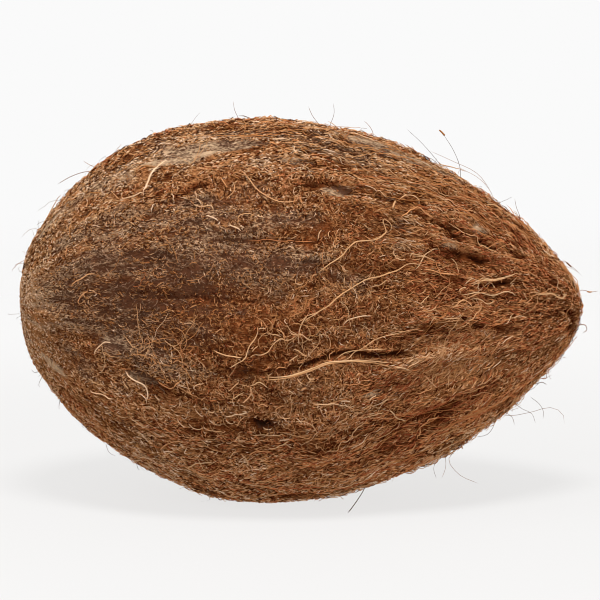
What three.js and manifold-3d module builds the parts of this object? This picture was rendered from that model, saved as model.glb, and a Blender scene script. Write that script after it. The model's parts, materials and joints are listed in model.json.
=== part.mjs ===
import * as THREE from "three";
import { mergeVertices } from "three/addons/utils/BufferGeometryUtils.js";
import Module from "manifold-3d";

// A husked brown coconut lying on its side, in millimetres, +Z up.
//
// It grew as one piece, so it is one solid: the nut in its matted coat of coir. +X points to the stem
// end, where the coir draws together in a blunt point, and -X to the round end. The side with the longest
// loose strands faces -Y. It rests on a small flat spot, and the origin is on the surface that it rests
// on, below the middle of its bounding box.
//
// A place on the coat is a pair [x, deg]: x in millimetres along the nut from its widest section, and deg
// the angle round it, 0 at the front (-Y), 90 at the top and -90 underneath.

// The outline. Each end narrows from the widest section as (1 - share ** power) ** fullness, where share is
// how far along that end a place is, and tipFullness blunts the tip. rise lifts the end's middle.
const DIAMETER = 101.5;
const ROUND_END = { length: 64.6, power: 1.84, fullness: 0.515, tipFullness: 0.47, rise: 2.8 };
const STEM_END = { length: 85, power: 1.85, fullness: 0.69, tipFullness: 0.63, rise: 0.5 };
const TIP_FROM = 0.87;
const RISEN_AT = 0.66;
const WIDEST_X = (ROUND_END.length - STEM_END.length) / 2;

// The relief fades out over calmLength and calmAngle towards the spot that the nut rests on.
const REST_SPOT = { x: 3, depth: 0.8, calmLength: 26, calmAngle: 24 };

// The relief of the coat: keels on the three seams of a palm fruit, lumps and ribs that run along it, and
// furrows. It grows from nothing to whole as the coat's radius goes from one number of DRAWN_IN to the other.
const KEELS = { count: 3, height: 0.55, degrees: 52 };
const LUMPS = { count: 10, height: 0.2, waves: [3, 8], axial: [0.05, 0.16] };
const RIBS = { count: 18, height: 0.16, waves: [12, 26], axial: [0.02, 0.2] };
const DRAWN_IN = [6, 40];

// Furrows that part the coat along the front, and how the rest are drawn all round it.
const FRONT_FURROWS = [
  { from: [-38, -14], to: [-22, -24], depth: 1.5, width: 2.4 },
  { from: [-37, 8], to: [12, 8], depth: 0.9, width: 2.2 },
  { from: [-18, 26], to: [12, 27], depth: 1, width: 2.2 },
  { from: [-38, 45], to: [-18, 41], depth: 1.1, width: 2.4 },
  { from: [46, 35], to: [62, 30], depth: 1.4, width: 2.4 },
  { from: [58, 52], to: [74, 40], depth: 1.1, width: 2.4 },
  { from: [25, -50], to: [54, -36], depth: 2, width: 3.2 },
  { from: [54, -36], to: [70, -28], depth: 1.1, width: 2.6 },
  { from: [18, -11], to: [41, -10], depth: 1.1, width: 2 },
  { from: [-2, 82], to: [36, 66], depth: 1.1, width: 2.4 },
];
const FURROWS = { count: 26, length: [16, 50], slant: 9, depth: [0.4, 1.2], width: [2, 3.2] };

// Loose strands that lie on the coat: routes as [x, deg] or [x, deg, lift], lift being how far off it they
// stand. A strand's ends dip into the coat unless they have a lift.
const FRONT_STRANDS = [
  { route: [[-38, 43], [-31.5, 45], [-29.5, 50], [-25.5, 57, 0.9]], thickness: 1.3 },
  { route: [[-8, -13], [2, -8], [10, -2], [20, 4], [30, 12], [43, 20]], thickness: 0.8 },
  { route: [[14, 17], [22, 24], [27, 30], [33, 33], [31, 37, 0.7]], thickness: 0.8 },
  { route: [[-6, -17], [10, -15], [22, -11], [33, -12], [40, -16]], thickness: 1.2 },
  { route: [[19, -12], [25, -8], [31, -4], [39, 0]], thickness: 0.9 },
  { route: [[54, 15], [61, 18], [68, 20], [74, 19]], thickness: 1.2 },
  { route: [[72, 14], [77, 13], [82, 12, 0.5]], thickness: 1.1 },
  { route: [[43, -19], [47, -12], [50, -5], [52, 2]], thickness: 0.9 },
  { route: [[-37, -15], [-34, -19], [-31, -23], [-31, -28, 0.5]], thickness: 1.1 },
  { route: [[29, -27], [24, -37], [15, -47]], thickness: 0.8 },
  { route: [[40, -46], [44, -37], [49, -33]], thickness: 0.8 },
  { route: [[27, -72], [24.5, -68, 1.4], [21.5, -62, 4.5]], thickness: 0.8 },
];
const STRANDS = { count: 18, length: [14, 40], slant: 34, bend: 26, thickness: [0.8, 1.2], points: 5 };
const BACK = [95, 250]; // the angles that those strands set out from
const STEM_TUFT = { count: 6, radius: [4, 13], reach: [2, 4], thickness: 1 };
const STRAND = { sides: 4, step: 5, sunk: 1.4, bedded: 0.12 };

const GRID = { around: 80, along: 46 };
const SEED = 20444;

const COIR = new THREE.MeshStandardMaterial({ color: "#7a4e31", roughness: 0.95, metalness: 0 });

const { PI, abs, cos, exp, hypot, max, min, sin, sqrt } = Math;
const wasm = await Module();
wasm.setup();

function seededRandom(seed) {
  let state = seed;
  return () => {
    state = (state + 0x6d2b79f5) | 0;
    let t = Math.imul(state ^ (state >>> 15), 1 | state);
    t = (t + Math.imul(t ^ (t >>> 7), 61 | t)) ^ t;
    return ((t ^ (t >>> 14)) >>> 0) / 2 ** 32;
  };
}

const random = seededRandom(SEED);
const between = ([low, high]) => low + (high - low) * random();
const radians = THREE.MathUtils.degToRad;
const { lerp, smoothstep } = THREE.MathUtils;

const endAt = (x) => (x < 0 ? ROUND_END : STEM_END);
const shareAt = (x) => min(1, abs(x) / endAt(x).length);

function radiusAt(x) {
  const end = endAt(x);
  const share = shareAt(x);
  const fullness = lerp(end.fullness, end.tipFullness, smoothstep(share, TIP_FROM, 1));
  return (DIAMETER / 2) * (1 - share ** end.power) ** fullness;
}

function spineHeight(x) {
  return DIAMETER / 2 - REST_SPOT.depth + endAt(x).rise * smoothstep(shareAt(x), 0, RISEN_AT);
}

// The outline's normal at x, as its parts along the nut and away from its axis.
function normalAt(x) {
  const reach = 0.05;
  const low = max(-ROUND_END.length, x - reach);
  const high = min(STEM_END.length, x + reach);
  const rise = radiusAt(high) - radiusAt(low);
  const run = high - low;
  const length = hypot(rise, run);
  return { along: -rise / length, out: run / length };
}

// The shortest way round from one angle to another, from -PI to PI.
const turnBetween = (from, to) => THREE.MathUtils.euclideanModulo(to - from + PI, 2 * PI) - PI;

function drawWaves({ count, height, waves, axial }) {
  return Array.from({ length: count }, () => ({
    around: Math.round(between(waves)),
    along: between(axial) * (random() < 0.5 ? -1 : 1),
    phase: between([0, 2 * PI]),
    height: height * between([0.6, 1.4]),
  }));
}

function drawFurrows({ count, length, slant, depth, width }) {
  return Array.from({ length: count }, () => {
    const reach = between(length);
    const x = between([-ROUND_END.length * 0.85, STEM_END.length * 0.92 - reach]);
    const degrees = between([-180, 180]);
    const end = [x + reach, degrees + between([-slant, slant])];
    return { from: [x, degrees], to: end, depth: between(depth), width: between(width) };
  });
}

const lumps = drawWaves(LUMPS);
const ribs = drawWaves(RIBS);
const furrows = [...FRONT_FURROWS, ...drawFurrows(FURROWS)];

const waveSum = (waves, x, angle) =>
  waves.reduce((sum, w) => sum + w.height * cos(w.around * angle + w.along * x + w.phase), 0);

const keelHeight = (angle) => KEELS.height * cos(KEELS.count * (angle - radians(KEELS.degrees)));

// How deep a furrow is at a place: a trough along its line on the unrolled coat, run out at both ends.
function furrowDepth({ from, to, depth, width }, x, angle) {
  const across = radiusAt(x);
  const lineAlong = to[0] - from[0];
  const lineAcross = radians(to[1] - from[1]) * across;
  const along = x - from[0];
  const away = turnBetween(radians(from[1]), angle) * across;
  const square = lineAlong ** 2 + lineAcross ** 2;
  const share = (along * lineAlong + away * lineAcross) / square;
  if (share <= 0 || share >= 1) return 0;
  const offset = (away * lineAlong - along * lineAcross) / sqrt(square);
  return depth * sqrt(sin(PI * share)) * exp(-((offset / width) ** 2));
}

// 0 on the resting spot, so that it stays whole, and 1 away from it.
function awayFromRest(x, angle) {
  const along = (x - REST_SPOT.x) / REST_SPOT.calmLength;
  const across = turnBetween(-PI / 2, angle) / radians(REST_SPOT.calmAngle);
  return smoothstep(hypot(along, across), 0.45, 1);
}

function reliefAt(x, angle) {
  const trough = furrows.reduce((deepest, furrow) => max(deepest, furrowDepth(furrow, x, angle)), 0);
  const matted = keelHeight(angle) + waveSum(lumps, x, angle) + waveSum(ribs, x, angle) - trough;
  return matted * smoothstep(radiusAt(x), ...DRAWN_IN) * awayFromRest(x, angle);
}

function coatPoint(x, angle, lift = 0) {
  const normal = normalAt(x);
  const height = reliefAt(x, angle) + lift;
  const radius = radiusAt(x) + height * normal.out;
  return new THREE.Vector3(
    x + height * normal.along,
    -radius * cos(angle),
    spineHeight(x) + radius * sin(angle),
  );
}

// The coat as one closed skin: rings of points from pole to pole, closer together where it curves in.
function coatGeometry() {
  const { around, along } = GRID;
  const ringX = (i) => {
    const swing = cos((PI * i) / along);
    return -swing * (swing > 0 ? ROUND_END.length : STEM_END.length);
  };
  const points = [coatPoint(-ROUND_END.length, 0)];
  for (let i = 1; i < along; i++) {
    for (let j = 0; j < around; j++) points.push(coatPoint(ringX(i), (2 * PI * j) / around));
  }
  points.push(coatPoint(STEM_END.length, 0));

  const at = (i, j) => 1 + (i - 1) * around + (j % around);
  const last = points.length - 1;
  const faces = [];
  for (let j = 0; j < around; j++) {
    faces.push(0, at(1, j), at(1, j + 1));
    for (let i = 1; i < along - 1; i++) {
      faces.push(at(i, j), at(i + 1, j), at(i + 1, j + 1), at(i, j), at(i + 1, j + 1), at(i, j + 1));
    }
    faces.push(last, at(along - 1, j + 1), at(along - 1, j));
  }
  return new THREE.BufferGeometry().setFromPoints(points).setIndex(faces);
}

// A strand of coir along a route on the coat.
function strandGeometry({ route, thickness }) {
  const lastPoint = route.length - 1;
  const places = route.map(([x, degrees, lift], i) => {
    const isEnd = i === 0 || i === lastPoint;
    return coatPoint(x, radians(degrees), lift ?? (isEnd ? -STRAND.sunk : STRAND.bedded * thickness));
  });
  const path = new THREE.CatmullRomCurve3(places, false, "centripetal");
  const section = new THREE.Shape(
    Array.from({ length: STRAND.sides }, (_, i) => {
      const angle = (2 * PI * i) / STRAND.sides;
      return new THREE.Vector2(cos(angle), sin(angle)).multiplyScalar(thickness / 2);
    }),
  );
  const steps = Math.ceil(path.getLength() / STRAND.step);
  return new THREE.ExtrudeGeometry(section, { extrudePath: path, steps, bevelEnabled: false });
}

// Strands all round the coat: each sets out roughly along the nut and bends as it goes.
function drawStrands({ count, length, slant, bend, thickness, points }) {
  return Array.from({ length: count }, () => {
    const reach = between(length);
    const stride = reach / (points - 1);
    let x = between([-ROUND_END.length * 0.8, STEM_END.length * 0.85 - reach]);
    let degrees = between(BACK);
    let heading = between([-slant, slant]);
    const route = [];
    for (let i = 0; i < points; i++) {
      route.push([x, degrees]);
      x += stride * cos(radians(heading));
      degrees += (stride * sin(radians(heading)) * 180) / (PI * max(12, radiusAt(x)));
      heading += between([-bend, bend]);
    }
    return { route, thickness: between(thickness) };
  });
}

// Short stiff ends of coir that stand out round the point at the stem end.
function drawStemTuft({ count, radius, reach, thickness }) {
  return Array.from({ length: count }, (_, i) => {
    const away = between(radius);
    const degrees = (360 * (i + 0.6 * random())) / count;
    let x = STEM_END.length;
    while (radiusAt(x) < away) x -= 0.1;
    const root = [x - 5, degrees, -STRAND.sunk];
    const tip = [x + 1.5, degrees + 9, between(reach) / 2];
    return { route: [root, [x - 1, degrees + 4, 0.4], tip], thickness };
  });
}

function solidFrom(geometry) {
  const bare = new THREE.BufferGeometry().setAttribute("position", geometry.getAttribute("position"));
  const merged = mergeVertices(geometry.index ? bare.setIndex(geometry.index) : bare, 1e-4);
  return new wasm.Manifold(
    new wasm.Mesh({
      numProp: 3,
      vertProperties: merged.attributes.position.array,
      triVerts: new Uint32Array(merged.index.array),
    }),
  );
}

function geometryFrom(solid) {
  const { vertProperties, triVerts } = solid.getMesh();
  const geometry = new THREE.BufferGeometry();
  geometry.setAttribute("position", new THREE.BufferAttribute(vertProperties, 3));
  geometry.setIndex(new THREE.BufferAttribute(triVerts, 1));
  geometry.computeVertexNormals();
  return geometry;
}

// Everything below the surface that the nut rests on.
function belowRest() {
  const side = 2 * (ROUND_END.length + STEM_END.length);
  return new THREE.BoxGeometry(side, side, side).translate(0, 0, -side / 2);
}

function coconutMesh() {
  const strands = [...FRONT_STRANDS, ...drawStrands(STRANDS), ...drawStemTuft(STEM_TUFT)];
  const whole = strands.reduce(
    (solid, strand) => solid.add(solidFrom(strandGeometry(strand))),
    solidFrom(coatGeometry()),
  );
  const mesh = new THREE.Mesh(geometryFrom(whole.subtract(solidFrom(belowRest()))), COIR);
  mesh.name = "coconut";
  mesh.position.x = WIDEST_X;
  return mesh;
}

const coconut = new THREE.Group();
coconut.add(coconutMesh());

export default coconut;
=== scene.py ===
import json
import math

import bpy
import numpy as np
from bpy.props import FloatProperty, FloatVectorProperty, IntProperty, PointerProperty
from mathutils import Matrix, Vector

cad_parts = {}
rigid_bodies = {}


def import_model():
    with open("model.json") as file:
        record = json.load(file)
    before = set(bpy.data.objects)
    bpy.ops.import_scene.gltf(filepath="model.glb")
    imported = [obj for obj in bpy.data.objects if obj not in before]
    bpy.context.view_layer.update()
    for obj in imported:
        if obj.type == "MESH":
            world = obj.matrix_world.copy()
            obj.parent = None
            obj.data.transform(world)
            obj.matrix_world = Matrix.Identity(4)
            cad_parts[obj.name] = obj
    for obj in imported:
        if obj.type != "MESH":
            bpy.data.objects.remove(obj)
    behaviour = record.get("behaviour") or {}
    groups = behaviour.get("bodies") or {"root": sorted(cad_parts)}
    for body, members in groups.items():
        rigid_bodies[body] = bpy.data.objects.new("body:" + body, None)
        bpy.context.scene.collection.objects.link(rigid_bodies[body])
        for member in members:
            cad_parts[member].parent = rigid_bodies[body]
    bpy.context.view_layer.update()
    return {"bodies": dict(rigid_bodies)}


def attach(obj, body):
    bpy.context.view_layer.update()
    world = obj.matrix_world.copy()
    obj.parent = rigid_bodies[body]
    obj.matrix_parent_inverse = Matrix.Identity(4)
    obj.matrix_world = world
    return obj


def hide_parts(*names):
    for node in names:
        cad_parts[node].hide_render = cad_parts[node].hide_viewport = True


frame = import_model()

bl_info = {
    "name": "Husked coconut",
    "version": (1, 0, 0),
    "blender": (4, 5, 0),
    "location": "View3D > Sidebar > Coconut",
    "description": "Dresses the solid of a husked coconut in its coat of coir",
    "category": "Object",
}

# Lengths are in millimetres and angles in degrees, except in the view and the stage, and MM turns a length
# into Blender's metres. A place on the coat is (x, deg): x along the nut from its widest section, towards the
# stem end, and deg the angle round it, 0 at the front, 90 at the top and -90 underneath.
MM = 0.001
NODE = "coconut"
BODY = next(iter(frame["bodies"]))

# The view of the front: the point of the nut in its middle and how far off it is, in metres, its height above
# the level, in radians, its focal length and sensor, and how many steps there are each way in the grid laid
# over it. A place on the grid is (steps across, steps down) from its upper left corner.
AIM = (-0.0003, 0, 0.0527)
ELEVATION = math.radians(6)
DISTANCE = 0.7
LENS, SENSOR = 157.9, 36
GRID = 600

# The form of the solid, by the same named values. An end's tip fullness takes over from TIP_FROM of its
# length on, its rise is full at RISEN_AT, and the relief fades out where the radius is within DRAWN_IN.
DIAMETER = 101.5
ROUND_END = {"length": 64.6, "power": 1.84, "fullness": 0.515, "tip_fullness": 0.47, "rise": 2.8}
STEM_END = {"length": 85.0, "power": 1.85, "fullness": 0.69, "tip_fullness": 0.63, "rise": 0.5}
TIP_FROM = 0.87
RISEN_AT = 0.66
WIDEST_X = (ROUND_END["length"] - STEM_END["length"]) / 2
REST_SPOT = {"x": 3, "depth": 0.8, "calm_length": 26, "calm_angle": 24}
KEELS = {"count": 3, "height": 0.55, "degrees": 52}
LUMPS = {"count": 10, "height": 0.2, "waves": (3, 8), "axial": (0.05, 0.16)}
RIBS = {"count": 18, "height": 0.16, "waves": (12, 26), "axial": (0.02, 0.2)}
DRAWN_IN = (6, 40)
FRONT_FURROWS = [  # from, to, depth, width
    ((-38, -14), (-22, -24), 1.5, 2.4),
    ((-37, 8), (12, 8), 0.9, 2.2),
    ((-18, 26), (12, 27), 1.0, 2.2),
    ((-38, 45), (-18, 41), 1.1, 2.4),
    ((46, 35), (62, 30), 1.4, 2.4),
    ((58, 52), (74, 40), 1.1, 2.4),
    ((25, -50), (54, -36), 2.0, 3.2),
    ((54, -36), (70, -28), 1.1, 2.6),
    ((18, -11), (41, -10), 1.1, 2.0),
    ((-2, 82), (36, 66), 1.1, 2.4),
]
FURROWS = {
    "count": 26, "length": (16, 50), "slant": 9, "depth": (0.4, 1.2), "width": (2, 3.2),
    "within": (0.85, 0.92),  # the shares of the two ends
}
FORM_SEED = 20444

# The finer relief of the matted coir: the length and width of its lumps, and how high they are. The matted
# coat lies under the outline by BED, and the fuzz fills the rest.
MATTING = [(18.0, 2.8, 0.5), (9.0, 1.6, 0.45), (2.2, 1.1, 0.35)]
BED = 0.6
CREVICE_DEPTH, GROOVE_DEPTH, SPOT_DEPTH = 1.2, 0.5, 0.2
COAT_RINGS = 130
COAT_AROUND = 420

# The lengths and widths of the lumps in which the coat is worn, pale, rusty, split by grooves, torn, spotted
# and mottled.
LUMP_SIZES = [(12, 3), (18, 5), (12, 6), (26, 2.6), (16, 6), (4.4, 1.7), (5, 2.4)]

# How near the two ends fibres are placed from the grid, set out, walk and curl: lowest and highest x.
GRID_ENDS = (-64.3, 84.7)
START_ENDS = (-64.57, 84.8)
WALK_ENDS = (-64.59, 84.9)
CURL_ENDS = (-60, 78)
# The radii at which a turn round the nut is taken as a length, for the strands and for the curls.
STRAND_RADIUS = 45
CURL_RADIUS = 48
# The narrowest radius that a fibre's way round the nut is worked out on, and the least length divided by.
LEAST_RADIUS = 3
TINY = 1e-9

# Where the coat is worn to a smooth skin: x, deg, half length, half width, and how pale it is there, with
# dark ones below 0. The paleness of the two at the left outline, x -54, is partly painted rim light.
BARE_PATCHES = [
    (-25, 60, 7, 3.6, 0.3),
    (-15, 62, 7, 2.6, 0.3),
    (-4, 62, 6, 1.6, 0.16),
    (9, 55, 6, 1.4, 0),
    (19.5, 45, 4, 3, 0.02),
    (-54, 60, 5, 3, 0.2),
    (-54, -36, 5, 2, 0.1),
    (-38, -10, 4, 2.6, -0.12),
    (-29, -21, 5, 1.4, -0.1),
    (0.5, -29, 2, 1.2, -0.16),
    (33, 78, 18, 4, 0.12),
    (28.5, -22, 3, 1, -0.1),
    (48, 33, 4.6, 2, 0.26),
    (56, 44, 3, 2, 0.05),
]
# Narrow crevices on the front, painted dark as shade: places on the grid, half width and how dark, and so
# how deep, from 0 to 1.
FRONT_CREVICES = [
    ([(206, 238), (222, 237), (238, 236), (252, 236), (268, 237), (284, 238), (300, 239), (318, 240)],
     0.4, 0.8),
    ([(118, 298), (150, 297), (190, 296), (232, 299), (290, 302)], 0.45, 0.3),
    ([(112, 292), (150, 291), (200, 293), (236, 292)], 0.45, 0.25),
    ([(290, 137), (302, 138)], 0.68, 0.8),
    ([(305, 133), (314, 138), (322, 142), (330, 145)], 0.75, 0.9),
    ([(308, 129), (318, 130)], 0.6, 0.7),
    ([(337, 146), (345, 148), (352, 150), (366, 153)], 1.35, 1),
    ([(345, 138), (356, 141), (366, 143), (378, 147), (384, 150)], 0.75, 0.9),
    ([(380, 152), (390, 154), (398, 156)], 0.75, 0.8),
    ([(392, 147), (402, 151), (412, 155)], 0.6, 0.7),
    ([(388, 154), (400, 159), (412, 163), (424, 168), (436, 172), (446, 176), (456, 180)], 0.68, 0.9),
    ([(360, 161), (370, 166), (378, 171), (388, 174)], 0.75, 0.8),
    ([(284, 163), (300, 163), (320, 165), (340, 166), (358, 167)], 0.83, 0.7),
    ([(310, 182), (322, 180), (334, 181), (345, 186), (352, 191)], 0.9, 0.6),
    ([(443, 193), (448, 197), (452, 201)], 1.2, 1),
    ([(461, 189), (468, 193)], 0.9, 0.9),
    ([(464, 196), (470, 199)], 0.75, 0.8),
    ([(468, 185), (476, 191), (484, 198), (490, 204)], 1.35, 0.8),
    ([(487, 202), (493, 206), (498, 212), (500, 219)], 1.2, 1),
    ([(482, 206), (484, 210)], 1.2, 0.9),
    ([(482, 222), (488, 226), (496, 229)], 1.5, 1),
    ([(480, 234), (487, 237), (494, 240)], 1.05, 0.9),
    ([(434, 220), (441, 222), (448, 225), (455, 231), (462, 237)], 0.9, 1),
    ([(452, 223), (458, 226), (464, 230), (471, 233)], 0.83, 1),
    ([(481, 241), (488, 245), (494, 248)], 1.05, 1),
    ([(436, 248), (446, 252), (456, 253), (466, 252)], 1.5, 0.9),
    ([(475, 254), (482, 257), (488, 260)], 1.2, 0.9),
    ([(505, 240), (515, 242), (524, 244)], 0.9, 0.8),
    ([(509, 249), (515, 252), (522, 256)], 1.05, 0.8),
    ([(503, 226), (511, 231), (518, 234)], 0.9, 0.8),
    ([(505, 212), (513, 218), (521, 225), (530, 231), (537, 236)], 1.05, 0.8),
    ([(530, 240), (540, 249), (548, 257)], 0.75, 0.7),
    ([(420, 176), (430, 182), (434, 187)], 0.68, 0.7),
    ([(414, 209), (424, 214), (430, 218)], 0.75, 0.8),
    ([(430, 274), (440, 277), (450, 279), (460, 280), (466, 280)], 1, 0.8),
    ([(455, 265), (465, 269), (472, 273), (480, 275)], 0.8, 0.8),
    ([(483, 286), (490, 285), (497, 284), (505, 282), (512, 281)], 0.7, 0.9),
    ([(553, 276), (556, 281), (558, 287)], 0.9, 0.9),
    ([(511, 295), (513, 301), (512, 307)], 0.6, 0.7),
    ([(570, 312), (574, 317), (575, 323), (573, 328)], 0.9, 0.9),
    ([(498, 328), (508, 330), (520, 330)], 0.9, 0.6),
    ([(476, 325), (482, 327)], 0.7, 0.9),
    ([(462, 317), (466, 319)], 0.7, 1),
    ([(405, 428), (420, 424), (434, 420), (443, 417)], 1.1, 0.9),
    ([(384, 447), (396, 443), (408, 437)], 1.0, 0.9),
    ([(388, 453), (400, 449), (414, 444), (424, 438)], 0.9, 0.9),
    ([(474, 399), (486, 392), (500, 385)], 0.9, 0.8),
    ([(352, 467), (368, 463), (382, 459)], 0.9, 0.7),
    ([(434, 420), (443, 417), (450, 411), (456, 405), (461, 401), (467, 396)], 1.1, 1),
    ([(445, 416), (450, 411), (456, 405), (460, 401)], 1.9, 1),
    ([(425, 433), (436, 426), (446, 420)], 0.9, 0.8),
    ([(364, 394), (372, 392), (380, 391), (388, 389)], 0.9, 0.8),
    ([(395, 387), (403, 387)], 0.7, 0.8),
    ([(363, 459), (370, 456), (377, 454), (384, 452)], 1.2, 1),
    ([(398, 436), (404, 434)], 0.9, 0.9),
    ([(384, 432), (390, 430)], 0.6, 0.8),
    ([(226, 370), (240, 373), (256, 374), (270, 373), (284, 371), (300, 368)], 0.8, 0.8),
    ([(300, 368), (316, 363), (330, 358), (345, 354), (355, 354)], 0.8, 0.9),
    ([(355, 354), (368, 356), (380, 357), (395, 356), (408, 355)], 0.9, 0.9),
    ([(255, 424), (262, 427), (268, 426)], 1.3, 1),
    ([(200, 430), (208, 429), (218, 430), (226, 431)], 0.5, 0.8),
    ([(188, 433), (198, 434)], 0.8, 0.8),
    ([(203, 421), (212, 420)], 0.6, 0.6),
    ([(140, 378), (150, 384), (160, 390), (172, 395), (185, 398), (198, 403), (225, 405)], 1.3, 0.5),
    ([(150, 449), (160, 449)], 0.5, 1),
    ([(175, 194), (184, 193), (192, 190)], 0.6, 0.8),
    ([(193, 187), (201, 185), (208, 184)], 0.7, 0.8),
    ([(160, 198), (168, 197)], 0.5, 0.5),
    ([(143, 218), (150, 214)], 0.7, 0.7),
    ([(120, 211), (130, 209)], 0.5, 0.7),
    ([(116, 193), (121, 192)], 0.6, 0.7),
    ([(225, 168), (231, 170)], 0.8, 0.8),
    ([(334, 446), (352, 441)], 0.5, 0.7),
    ([(300, 452), (318, 452), (334, 450)], 0.5, 0.7),
    ([(230, 477), (260, 480), (300, 479)], 0.6, 0.6),
]
# The crevices of the rest of the coat, painted dark as shade: how many and how dark, and so how deep, they
# are, their lengths, half widths and slant in degrees, the ends they stay within and the angles they start
# from.
CREVICES = {
    "count": 70, "length": (8, 30), "slant": 4, "width": (0.35, 0.9), "dark": (0.5, 1),
    "within": (0.8, 0.9), "round": (75, 285),
}
# Where long curls tangle on the front: x, deg, spread, how many.
TANGLES = [
    (7, -1, 6, 16),
    (-24, -8, 6, 16),
    (-16, 52, 6, 12),
    (48, 8, 7, 14),
    (8, -30, 9, 14),
    (34, 30, 7, 8),
]
# Where longer, straighter fibres lie side by side: x, deg, half length, half width, lean in degrees, number.
COMBED_BANDS = [
    (48, -46, 20, 8, 8, 56),
    (20, -58, 26, 7, 6, 34),
    (42, 56, 20, 8, -4, 40),
    (6, 72, 30, 6, 0, 26),
]
# Where the coir is paler and more golden (above 0) or darker (below 0): x, deg, half length, half width,
# amount. Partly the coir's own tone and partly painted light: the pale ones at the left outline, (-62, -16)
# and (-52, 52), are painted rim light, those underneath, (-44, -40), (10, -48) and (0, -62), painted light
# from the floor, and (50, -16) painted light low on the right.
SHADED_PATCHES = [
    (-30, 6, 28, 18, -0.34),
    (-6, 10, 20, 16, -0.2),
    (26, 16, 18, 12, -0.16),
    (-41, 21, 5, 2.4, -0.1),
    (-50, 11, 5, 2.6, -0.1),
    (-18, 40, 6, 1.6, -0.14),
    (-17, 18, 8, 2, -0.1),
    (0, 20, 8, 2.4, -0.1),
    (8, 34, 5, 2, -0.12),
    (-30, 5, 10, 1.4, -0.1),
    (-40, -16, 18, 8, -0.06),
    (-62, -16, 8, 18, 0.66),
    (-52, 52, 12, 12, 0.12),
    (-20, 50, 26, 6, 0.08),
    (30, 58, 22, 6, 0.06),
    (40, -46, 16, 5, -0.08),
    (50, -16, 18, 10, 0.54),
    (-44, -40, 16, 10, 0.06),
    (10, -48, 40, 12, 0.1),
    (62, 14, 14, 12, 0.02),
    (52, 36, 16, 9, 0.12),
    (0, -62, 40, 10, 0.06),
    (6, 74, 40, 8, -0.11),
]
# Where the coir is redder, or greyer, than on the whole: place and size as for the worn patches, and how
# much greyer.
HUE_PATCHES = [
    (-34, 8, 26, 20, 0.56),
    (-8, 20, 18, 10, 0.44),
    (26, 16, 18, 12, 0.22),
    (-20, -14, 14, 9, 0.1),
    (-41, 21, 6, 3, 0.4),
    (-50, 11, 6, 3, 0.4),
    (-18, 40, 7, 2, 0.4),
    (-17, 18, 9, 2.4, 0.35),
    (0, 20, 9, 3, 0.4),
    (8, 34, 6, 2.4, 0.4),
    (-11, -24, 6, 2, 0.3),
    (-26, 60, 16, 6, 0.5),
    (0, 74, 50, 8, 0.4),
    (36, 62, 24, 9, 0.22),
    (-62, -16, 9, 20, -0.1),
    (-52, 46, 14, 14, 0.06),
    (-46, -34, 14, 10, -0.14),
    (10, -52, 44, 13, -0.4),
    (44, -30, 24, 16, -0.46),
    (62, 18, 26, 26, -0.44),
]
# Where the coir leans across the nut: place and size likewise, and the lean in degrees.
LEANING_PATCHES = [
    (48, -20, 16, 10, 36),
    (40, -44, 20, 9, 16),
    (-16, 48, 16, 12, 12),
    (0, -52, 26, 10, 16),
]

# Loose strands that lie on the front: places on the grid with any lift after them, how thick, how pale from
# 0 to 1, how flat, 1 being round, and how many fibres they are plied from.
FRONT_STRANDS = [
    ([(141, 191), (144, 188.5), (147, 183), (150, 178), (155, 173), (160, 169), (164, 165), (167, 161)],
     1, 0.92, 0.4, 1),
    ([(317, 273), (323, 269), (330, 264), (337, 260), (342, 256), (345, 252), (349, 248), (354, 244),
      (361, 242.5), (370, 241.5), (376, 240), (380, 238), (383, 235), (387, 231), (385, 227, 0.3),
      (382, 223, 0.6), (383, 220, 0.9), (386, 222.5, 0.9), (390, 225, 0.6), (392, 228, 0.2), (389, 231)],
     0.46, 0.88, 1, 1),
    ([(297, 323), (304, 319), (308, 315.5), (314, 314), (322, 310), (330, 305), (336, 299), (342, 294),
      (350, 289), (358, 284), (366, 279.5), (371, 278), (380, 276.5), (388, 273.5), (395, 271.5),
      (400, 269), (404, 266), (409, 264), (415, 263.5), (420, 264.5), (423, 267)], 0.45, 0.84, 1, 1),
    ([(265, 379), (275, 378), (284, 377), (293, 375), (301, 373), (309, 370.5), (317, 367.5), (325, 364.5),
      (333, 363), (342, 362.5), (352, 362), (362, 362), (372, 363), (382, 364.5), (392, 366)],
     0.72, 0.84, 0.7, 2),
    ([(338, 363), (345, 361), (352, 357), (358, 352), (365, 347.5), (370, 344), (377, 340), (385, 336.5),
      (395, 334.5), (407, 331)], 0.36, 0.86, 1, 1),
    ([(534, 291), (538, 294), (544, 294.5), (550, 294), (556, 297), (560, 298.5), (566, 295), (568, 296)],
     0.6, 0.82, 0.7, 2),
    ([(470, 284), (476, 282), (481, 279), (486, 277.5), (492, 279), (498, 279), (505, 277), (511, 275.5),
      (517, 274), (520, 276)], 0.36, 0.86, 1, 1),
    ([(472, 286), (478, 283), (484, 280.5), (490, 280.5), (496, 280.5), (503, 278.5), (512, 276)],
     0.34, 0.8, 1, 1),
    ([(476, 281), (482, 280.5), (488, 279), (494, 280), (500, 278), (508, 276.5)], 0.4, 0.84, 1, 1),
    ([(449, 221), (453, 224), (458, 228), (464, 232), (472, 235), (477, 239), (482, 245), (488, 250),
      (496, 254), (503, 259)], 0.38, 0.82, 1, 1),
    ([(325, 452), (329, 450), (336, 448), (342, 443), (348, 440), (352, 436), (356, 431), (360, 427),
      (364, 423), (368, 419)], 0.45, 0.82, 1, 1),
    ([(463, 311), (460, 315), (456, 320), (454, 325), (451, 333), (447, 342), (442, 353), (438, 360),
      (435, 366), (432, 372), (424, 376)], 0.34, 0.76, 1, 1),
    ([(258, 329), (257, 334), (255, 339), (252, 343), (249, 347), (247, 352), (246, 356), (244, 359),
      (238, 363), (231, 367), (228, 369)], 0.4, 0.88, 1, 1),
    ([(299, 335), (295, 337), (291, 340), (286, 341), (281, 339), (277, 341), (272, 346), (268, 352),
      (262, 355), (253, 355), (249, 358)], 0.36, 0.84, 1, 1),
]
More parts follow.
